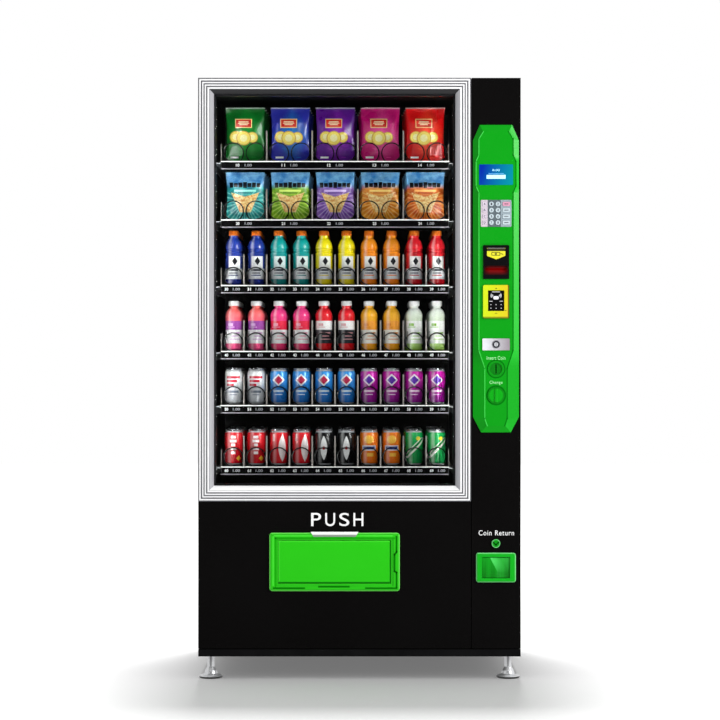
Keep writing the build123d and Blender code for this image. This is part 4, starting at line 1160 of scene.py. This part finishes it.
def note_marks():
    """Yellow shield on the note acceptor: an olive band, and a plain note with a coin."""
    yellow = plain("print_yellow", "CCC81C", 0.4, grain=500.0)
    olive = plain("print_olive", "2C2A06", 0.4, grain=500.0)
    grey = plain("print_grey", "8C8E8C", 0.4, grain=500.0)
    column_x, note = centre_of("control_fascia").x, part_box("bill_acceptor")
    z, face = note[1].z - 0.0275, note[0].y
    mesh = Mesh()
    shield = [(-0.0295, 0.018), (-0.0295, -0.007), (0.0, -0.0185), (0.0295, -0.007), (0.0295, 0.018)]
    mesh.prism(moved(shield, column_x, z), face - 0.0006, face + 0.0004, 0)
    mesh.prism(moved(rounded(0.059, 0.0085, 0.001, 2), column_x, z + 0.0125), face - 0.0009, face, 1)
    mesh.prism(moved(rounded(0.054, 0.0012, 0.0004, 2), column_x, z + 0.0175), face - 0.0011, face, 2)
    stripe(mesh, moved([(-0.014, 0.004), (0.012, 0.004), (0.012, -0.0055), (-0.014, -0.0055),
                        (-0.014, 0.004)], column_x, z), 0.0017, face - 0.0006, 1)
    ring(mesh, column_x - 0.001, z - 0.0008, 0.0012, 0.0034, face - 0.0006, 1)
    stripe(mesh, moved([(0.015, 0.001), (0.022, -0.003)], column_x, z), 0.0017, face - 0.0006, 1)
    mesh.build("note_marks", "door", [yellow, olive, grey], "print", smooth=False)


def screen_marks():
    """What the display shows: a number, a rule and a bar."""
    lit = glowing("screen_marks", "A8E8FA", 0.42)
    faint = glowing("screen_rule", "68B4E8", 0.5)
    mesh = Mesh()
    middle, face = centre_of("display_screen"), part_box("display_screen")[0].y - 0.0003
    write(mesh, "0.00", middle.x, 1.6415, face, (0.024, 0.006), 0, 0.0)
    mesh.prism(moved(rounded(0.05, 0.001, 0.0003, 2), middle.x, 1.6305), face, face + 0.0003, 1)
    mesh.prism(moved(rounded(0.061, 0.0125, 0.0006, 2), middle.x, 1.62), face, face + 0.0003)
    mesh.build("screen_marks", "door", [lit, faint], "print", smooth=False)


def reader_marks():
    """Card, waves, lines and dots on the reader's screen, its two screws and a slit, and a painted
    shadow line along its foot and right side.
    """
    lit = glowing("reader_marks", "D0D0D4", 0.35)
    dark = plain("reader_screws_and_painted_shadow", "1C1A08", 0.4, grain=500.0)
    mesh = Mesh()
    reader = centre_of("card_reader")
    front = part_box("card_reader")[0].y
    floor = front + 0.004 - 0.0003
    top = reader.z + 0.003
    for x, z, wide, tall in ((0, 0.0285, 0.026, 0.0016), (-0.0165, -0.0015, 0.011, 0.0014),
                             (0.0165, -0.0015, 0.011, 0.0014), (0, 0.0095, 0.017, 0.0105)):
        mesh.prism(moved(rounded(wide, tall, tall * 0.35, 3), reader.x + x, top + z), floor,
                   floor + 0.0003)
    for side in (-1, 1):
        for wave in range(3):
            radius = 0.0035 + wave * 0.0032
            angles = [math.radians(90 - 90 * side - 42 + 84 * s / 8) for s in range(9)]
            outer = [(radius * math.cos(a), radius * math.sin(a)) for a in angles]
            inner = [((radius - 0.0015) * math.cos(a), (radius - 0.0015) * math.sin(a))
                     for a in reversed(angles)]
            mesh.prism(moved(outer + inner, reader.x + side * 0.0075, top + 0.0165), floor,
                       floor + 0.0003)
    for line in range(2):
        for column in range(3):
            spot = moved(disc(0.0014, 10), reader.x - 0.0165 + 0.0165 * column,
                         top - 0.0125 - 0.0115 * line)
            mesh.prism(spot, floor, floor + 0.0003)
    ring(mesh, reader.x, reader.z + 0.0425, 0.0002, 0.0019, front, 1)
    stripe(mesh, [(reader.x - 0.003, reader.z - 0.0375), (reader.x + 0.003, reader.z - 0.0375)], 0.0014,
           front, 1)
    stripe(mesh, [(reader.x + 0.0295, reader.z - 0.0285), (reader.x + 0.0325, reader.z - 0.0285)],
           0.0014, front, 1)
    # painted shadow: a dark line along the reader's foot and right side
    low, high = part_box("card_reader")
    shadow = [(low.x + 0.006, low.z + 0.0012), (high.x - 0.0014, low.z + 0.0012),
              (high.x - 0.0014, high.z - 0.009)]
    stripe(mesh, shadow, 0.0026, front + 0.0004, 1, 0.0002)
    mesh.build("reader_marks", "door", [lit, dark], "print", smooth=False)


def key_legends():
    """Letters, digits and plain bars on the keys, moving with them."""
    ink = plain("key_ink", "3A3A44", 0.5, grain=700.0)
    pad, keys = centre_of("keypad_plate"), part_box("keypad_keys")
    face = keys[0].y - 0.0002
    mesh = Mesh()
    for row in range(4):
        z = pad.z + 0.03 - row * 0.02
        write(mesh, "ABCD"[row], pad.x - 0.037, z, face, (0.0058, 0.0072), 0, 0.02, 0.0003)
        write(mesh, str(2 * row + 1), pad.x - 0.015, z, face, (0.005, 0.0078), 0, 0.02, 0.0003)
        write(mesh, str(2 * row + 2), pad.x + 0.006, z, face, (0.005, 0.0078), 0, 0.02, 0.0003)
        mesh.prism(moved(rounded(0.014, 0.0022, 0.0008, 2), pad.x + 0.033, z), face, face + 0.0003)
    mesh.build("key_legends", "keys", [ink], "print", smooth=False)


def button_mark():
    """Pale ring and a dark chevron on the coin return button."""
    pale = plain("button_ring", "6CBC78", 0.6, grain=700.0, Specular_IOR_Level=0.1)
    dark = plain("chevron", "02400A", 0.8, grain=700.0, Specular_IOR_Level=0.04)
    low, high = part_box("return_button")
    middle = (low + high) / 2
    mesh = Mesh()
    ring(mesh, middle.x, middle.z, 0.0115, 0.0135, low.y, 0, 0.0003)
    stripe(mesh, moved([(-0.0085, 0.004), (0.0, -0.0045), (0.0085, 0.004)], middle.x, middle.z), 0.0042,
           low.y, 1, 0.0006)
    mesh.build("button_chevron", "button", [pale, dark], "print", smooth=False)


def lock_rings():
    """Turned rings round the lock."""
    steel = plain("lock_ring", "A8A8AE", 0.3, 0.5, 900.0)
    middle, face = centre_of("lock_plate"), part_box("lock_plate")[0].y
    mesh = Mesh()
    profile = ((0.0135, -0.0002), (0.0135, 0.0008), (0.013, 0.0013), (0.0122, 0.0013), (0.0117, 0.0008),
               (0.0117, -0.0002), (0.0135, -0.0002))
    lathe_y(mesh, profile, RING_STEPS, (middle.x, face, middle.z))
    mesh.build("lock_ring", "door", [steel], "steel")


def rear_screws():
    """Flush slotted screw heads round the back cover."""
    zinc = plain("screw_zinc", "A6AAAE", 0.35, 0.8, 500.0)
    slot = plain("screw_slot", "1A1A1C", 0.6, grain=500.0)
    low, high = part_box("rear_panel")
    face = high.y
    mesh = Mesh()
    across, up = [[start + SCREW_INSET + (end - start - 2 * SCREW_INSET) * index / (count - 1)
                   for index in range(count)]
                  for start, end, count in ((low.x, high.x, SCREWS_ACROSS), (low.z, high.z, SCREWS_UP))]
    spots = [(x, z) for x in across for z in (up[0], up[-1])]
    spots += [(x, z) for x in (across[0], across[-1]) for z in up[1:-1]]
    head = ((0.005, -0.0003), (0.0058, 0.0), (0.0058, 0.0008))
    for index, (x, z) in enumerate(spots):
        first = lathe_y(mesh, head, SCREW_STEPS, (x, face, z))
        mesh.cap(first, SCREW_STEPS, flip=True)
        mesh.cap(first + 2 * SCREW_STEPS, SCREW_STEPS)
        lean = math.radians(37 * index)
        along = Vector((math.cos(lean), math.sin(lean))) * 0.0038
        aside = Vector((-math.sin(lean), math.cos(lean))) * 0.0005
        centre = Vector((x, z))
        corners = (centre - along - aside, centre + along - aside, centre + along + aside,
                   centre - along + aside)
        mesh.prism([tuple(corner) for corner in corners], face - 0.0002, face + 0.0004, 1)
    mesh.build("rear_screws", "cabinet", [zinc, slot], "steel")


# ---------------------------------------------------------------- frame nodes
def flap_glass():
    """Tinted clear plastic of the coin flap: darker towards the bottom, upright streaks, and a painted
    reflection, a fading blade of light.
    """
    low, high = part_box("coin_return_flap")
    shade = Shade("coin_flap_green", 0.2, Specular_IOR_Level=0.3)
    x, _, z = shade.axes()
    across = shade.spread(x, low.x, high.x, 0.0, 1.0)
    up = shade.spread(z, low.z, high.z, 0.0, 1.0)
    streaks = shade.spread(shade.noise(90.0, 2.0, (1, 1, 0.03)), 0.35, 0.65, 0.0, 0.5)
    colour = shade.mix(up, "04600A", "088A18")
    colour = shade.mix(streaks, colour, "0CA01C")
    # painted reflection: a pale blade fading away from its edge and towards the bottom
    edge = shade.less(across, shade.spread(up, 1.0, 0.35, 0.3, 0.52))
    blade = shade.times(shade.spread(edge, 0.0, 0.02, 0.0, 1.0),
                        shade.spread(edge, 0.02, 0.34, 0.85, 0.2))
    blade = shade.times(blade, shade.spread(up, 0.25, 0.85, 0.12, 1.0))
    return shade.finish(shade.mix(blade, colour, "50D864"), 200.0, vary=0.03, bump=0.02, uneven=0.02)


def dress_frame():
    """A finished material on every node of the frame that shows."""
    black = plain("black_paint", "0A0A0B", 0.4, grain=420.0, bump=0.2, Specular_IOR_Level=0.15)
    gloss = plain("gloss_black", "0A0909", 0.22, grain=60.0, bump=0.02, Specular_IOR_Level=0.12)
    zinc = plain("galvanised", "8E9296", 0.42, 0.8, 26.0, vary=0.18, bump=0.1)
    steel = plain("brushed_steel", "B9B9BE", 0.3, 0.85, 700.0, (0.04, 1, 1), 0.08)
    plate, barrel = lock_materials()
    liner = plain("liner_black", "0D0D0E", 0.5, grain=180.0, Specular_IOR_Level=0.15)
    foam = plain("foam", "D9C98E", 0.9, grain=260.0, vary=0.2, bump=0.6)
    fins = plain("aluminium_fins", "A9ACB0", 0.35, 0.85, 500.0, (1, 1, 0.05))
    dark = plain("dark_plastic", "17171A", 0.42, grain=500.0, bump=0.2)
    grey = plain("grey_plastic", "55585C", 0.45, grain=480.0, bump=0.2)
    seal = plain("gasket", "1B1B1D", 0.7, grain=380.0, bump=0.3)
    lamp = lamp_material()
    wire = plain("wire_black", "0E0E10", 0.3, 0.2, 600.0)
    clear = glass_material()
    finishes = {black: ("cabinet_shell", "base_frame", "door_frame", "compressor"),
                gloss: ("lower_panel", "column_panel"), zinc: ("rear_panel", "tray_runners",
                                                               "hinge_brackets", "lock_strike",
                                                               "lock_cam"), steel: ("hinge_pins",),
                plate: ("lock_plate",), barrel: ("lock_barrel",), foot_material(): ("levelling_feet",),
                liner: ("inner_liner", "air_duct"), foam: ("insulation_foam",), fins: ("condenser",),
                dark: ("delivery_bin", "evaporator_unit", "fan_shroud", "condenser_fan", "power_inlet",
                       "glazing_spacer", "coin_mechanism"), grey: ("control_box",),
                seal: ("door_gasket",), lamp: ("light_strips",),
                faceted_material(): ("control_fascia", "return_button"),
                round_material("coin_slot_green_painted_shade", "coin_slot", 0.0195, "06700F",
                               "04860F"): ("coin_slot",),
                round_material("knob_green_painted_shade", "change_knob", 0.0225, "04960F",
                               "047A0C"): ("change_knob",),
                outlined_material("cup_green", "coin_return_cup", "06A018", "6CC878",
                                  0.0028): ("coin_return_cup",),
                outlined_material("bezel_green", "delivery_bezel", "22B40C", "64D050",
                                  0.003): ("delivery_bezel",), tab_material(): ("push_tab",),
                pad_material(): ("keypad_plate",), key_material(): ("keypad_keys",),
                wire: ("spiral_row1_left", "spiral_row1_right", "spiral_row2_left", "spiral_row2_right",
                       "spiral_row3", "spiral_row6"), clear: ("glass_outer", "glass_inner"),
                display_material(): ("display_screen",), reader_material(): ("card_reader",),
                note_material(): ("bill_acceptor",), flap_material(): ("delivery_flap",),
                flap_glass(): ("coin_return_flap",),}
    for material, nodes in finishes.items():
        for node in nodes:
            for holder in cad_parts[node].material_slots:
                holder.material = material
    for row, level in enumerate(TRAY_LEVELS):
        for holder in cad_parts[f"tray_{row + 1}"].material_slots:
            holder.material = tray_material(f"tray_{row + 1}_paint", level)
    return wire


# ---------------------------------------------------------------- studio
VIEW_DISTANCE = 7.0
EYE = Vector((0.0019, 0, 1.0303))
PICTURE_WIDTH = 2.3203


def camera():
    """Straight on, level, far back."""
    data = bpy.data.cameras.new("camera")
    data.sensor_width = 36
    data.lens = data.sensor_width * VIEW_DISTANCE / PICTURE_WIDTH
    made = add("camera", data)
    made.location = (EYE.x, TRIM_LOW.y - VIEW_DISTANCE, EYE.z)
    made.rotation_euler = (math.pi / 2, 0, 0)
    scene.camera = made


def area_light(name, place, target, size, power, spared=None, reflected=True):
    """A square lamp aimed at a point; a spared object isn't lit by it."""
    data = bpy.data.lights.new(name, "AREA")
    data.size = size
    data.energy = power
    made = add(name, data)
    made.location = place
    aim = Vector(target) - Vector(place)
    made.rotation_euler = aim.to_track_quat("-Z", "Y").to_euler()
    made.visible_glossy = reflected
    if spared:
        made.light_linking.receiver_collection = spared


def surroundings():
    """White backdrop, softer as a light, and dark behind the camera where panels would mirror it."""
    world = bpy.data.worlds.new("surroundings")
    world.use_nodes = True
    scene.world = world
    nodes, links = world.node_tree.nodes, world.node_tree.links
    path = nodes.new("ShaderNodeLightPath")
    place = nodes.new("ShaderNodeTexCoord")
    axes = nodes.new("ShaderNodeSeparateXYZ")
    links.new(place.outputs["Generated"], axes.inputs[0])
    flag = nodes.new("ShaderNodeMapRange")
    links.new(axes.outputs["Y"], flag.inputs["Value"])
    for name, value in (("From Min", -0.95), ("From Max", -0.6), ("To Min", 0.06), ("To Max", 0.8)):
        flag.inputs[name].default_value = value
    mirrored = nodes.new("ShaderNodeMix")
    mirrored.inputs[2].default_value = WORLD_FILL
    links.new(path.outputs["Is Glossy Ray"], mirrored.inputs[0])
    links.new(flag.outputs[0], mirrored.inputs[3])
    seen = nodes.new("ShaderNodeMix")
    seen.inputs[3].default_value = 1.0
    links.new(path.outputs["Is Camera Ray"], seen.inputs[0])
    links.new(mirrored.outputs[0], seen.inputs[2])
    sky = nodes["Background"]
    sky.inputs["Color"].default_value = (1, 1, 1, 1)
    links.new(seen.outputs[0], sky.inputs["Strength"])


def ground():
    """Floor that fades into the white backdrop away from the machine."""
    shade = Shade("floor_pale", 0.9, Specular_IOR_Level=0.0, Emission_Color=(1.0, 1.0, 1.0))
    x, y, _ = shade.axes()
    reach = shade.math("SQRT", shade.plus(shade.times(x, x), shade.times(y, y)))
    shade.put(shade.shader.inputs["Emission Strength"], shade.spread(reach, 1.0, 3.2, 0.15, 0.7))
    data = bpy.data.meshes.new("floor")
    corners = [(sx * FLOOR_HALF, sy * FLOOR_HALF, 0) for sx, sy in ((-1, -1), (1, -1), (1, 1), (-1, 1))]
    data.from_pydata(corners, [], [[0, 1, 2, 3]])
    data.materials.append(shade.finish("F6F6F6", 4.0, vary=0.01, bump=0.0))
    made = add("floor", data)
    made.visible_glossy = False
    return made


def studio():
    """Soft lamps over a pale floor; the one from above and behind lays the shadow forward."""
    surroundings()
    spared = bpy.data.collections.new("floor_only")
    spared.objects.link(ground())
    spared.collection_objects[0].light_linking.link_state = "EXCLUDE"
    area_light("key", (4.4, -3.6, 2.8), (0.1, 0, 1.0), 2.0, 260, spared)
    area_light("front", (-0.6, -6.6, 2.4), (0, 0, 1.0), 1.8, 95, spared, reflected=False)
    area_light("back", (0.05, 2.4, 9.0), (0.0, 0, 0.0), 1.6, 620)
    scene.view_settings.view_transform = "Standard"


camera()
wire_finish = dress_frame()
window_frame()
spirals(wire_finish)
snack_rows()
drinks()
tickets()
column_print()
painted_shade_and_highlight_lines()
note_marks()
screen_marks()
reader_marks()
key_legends()
button_mark()
lock_rings()
rear_screws()
studio()
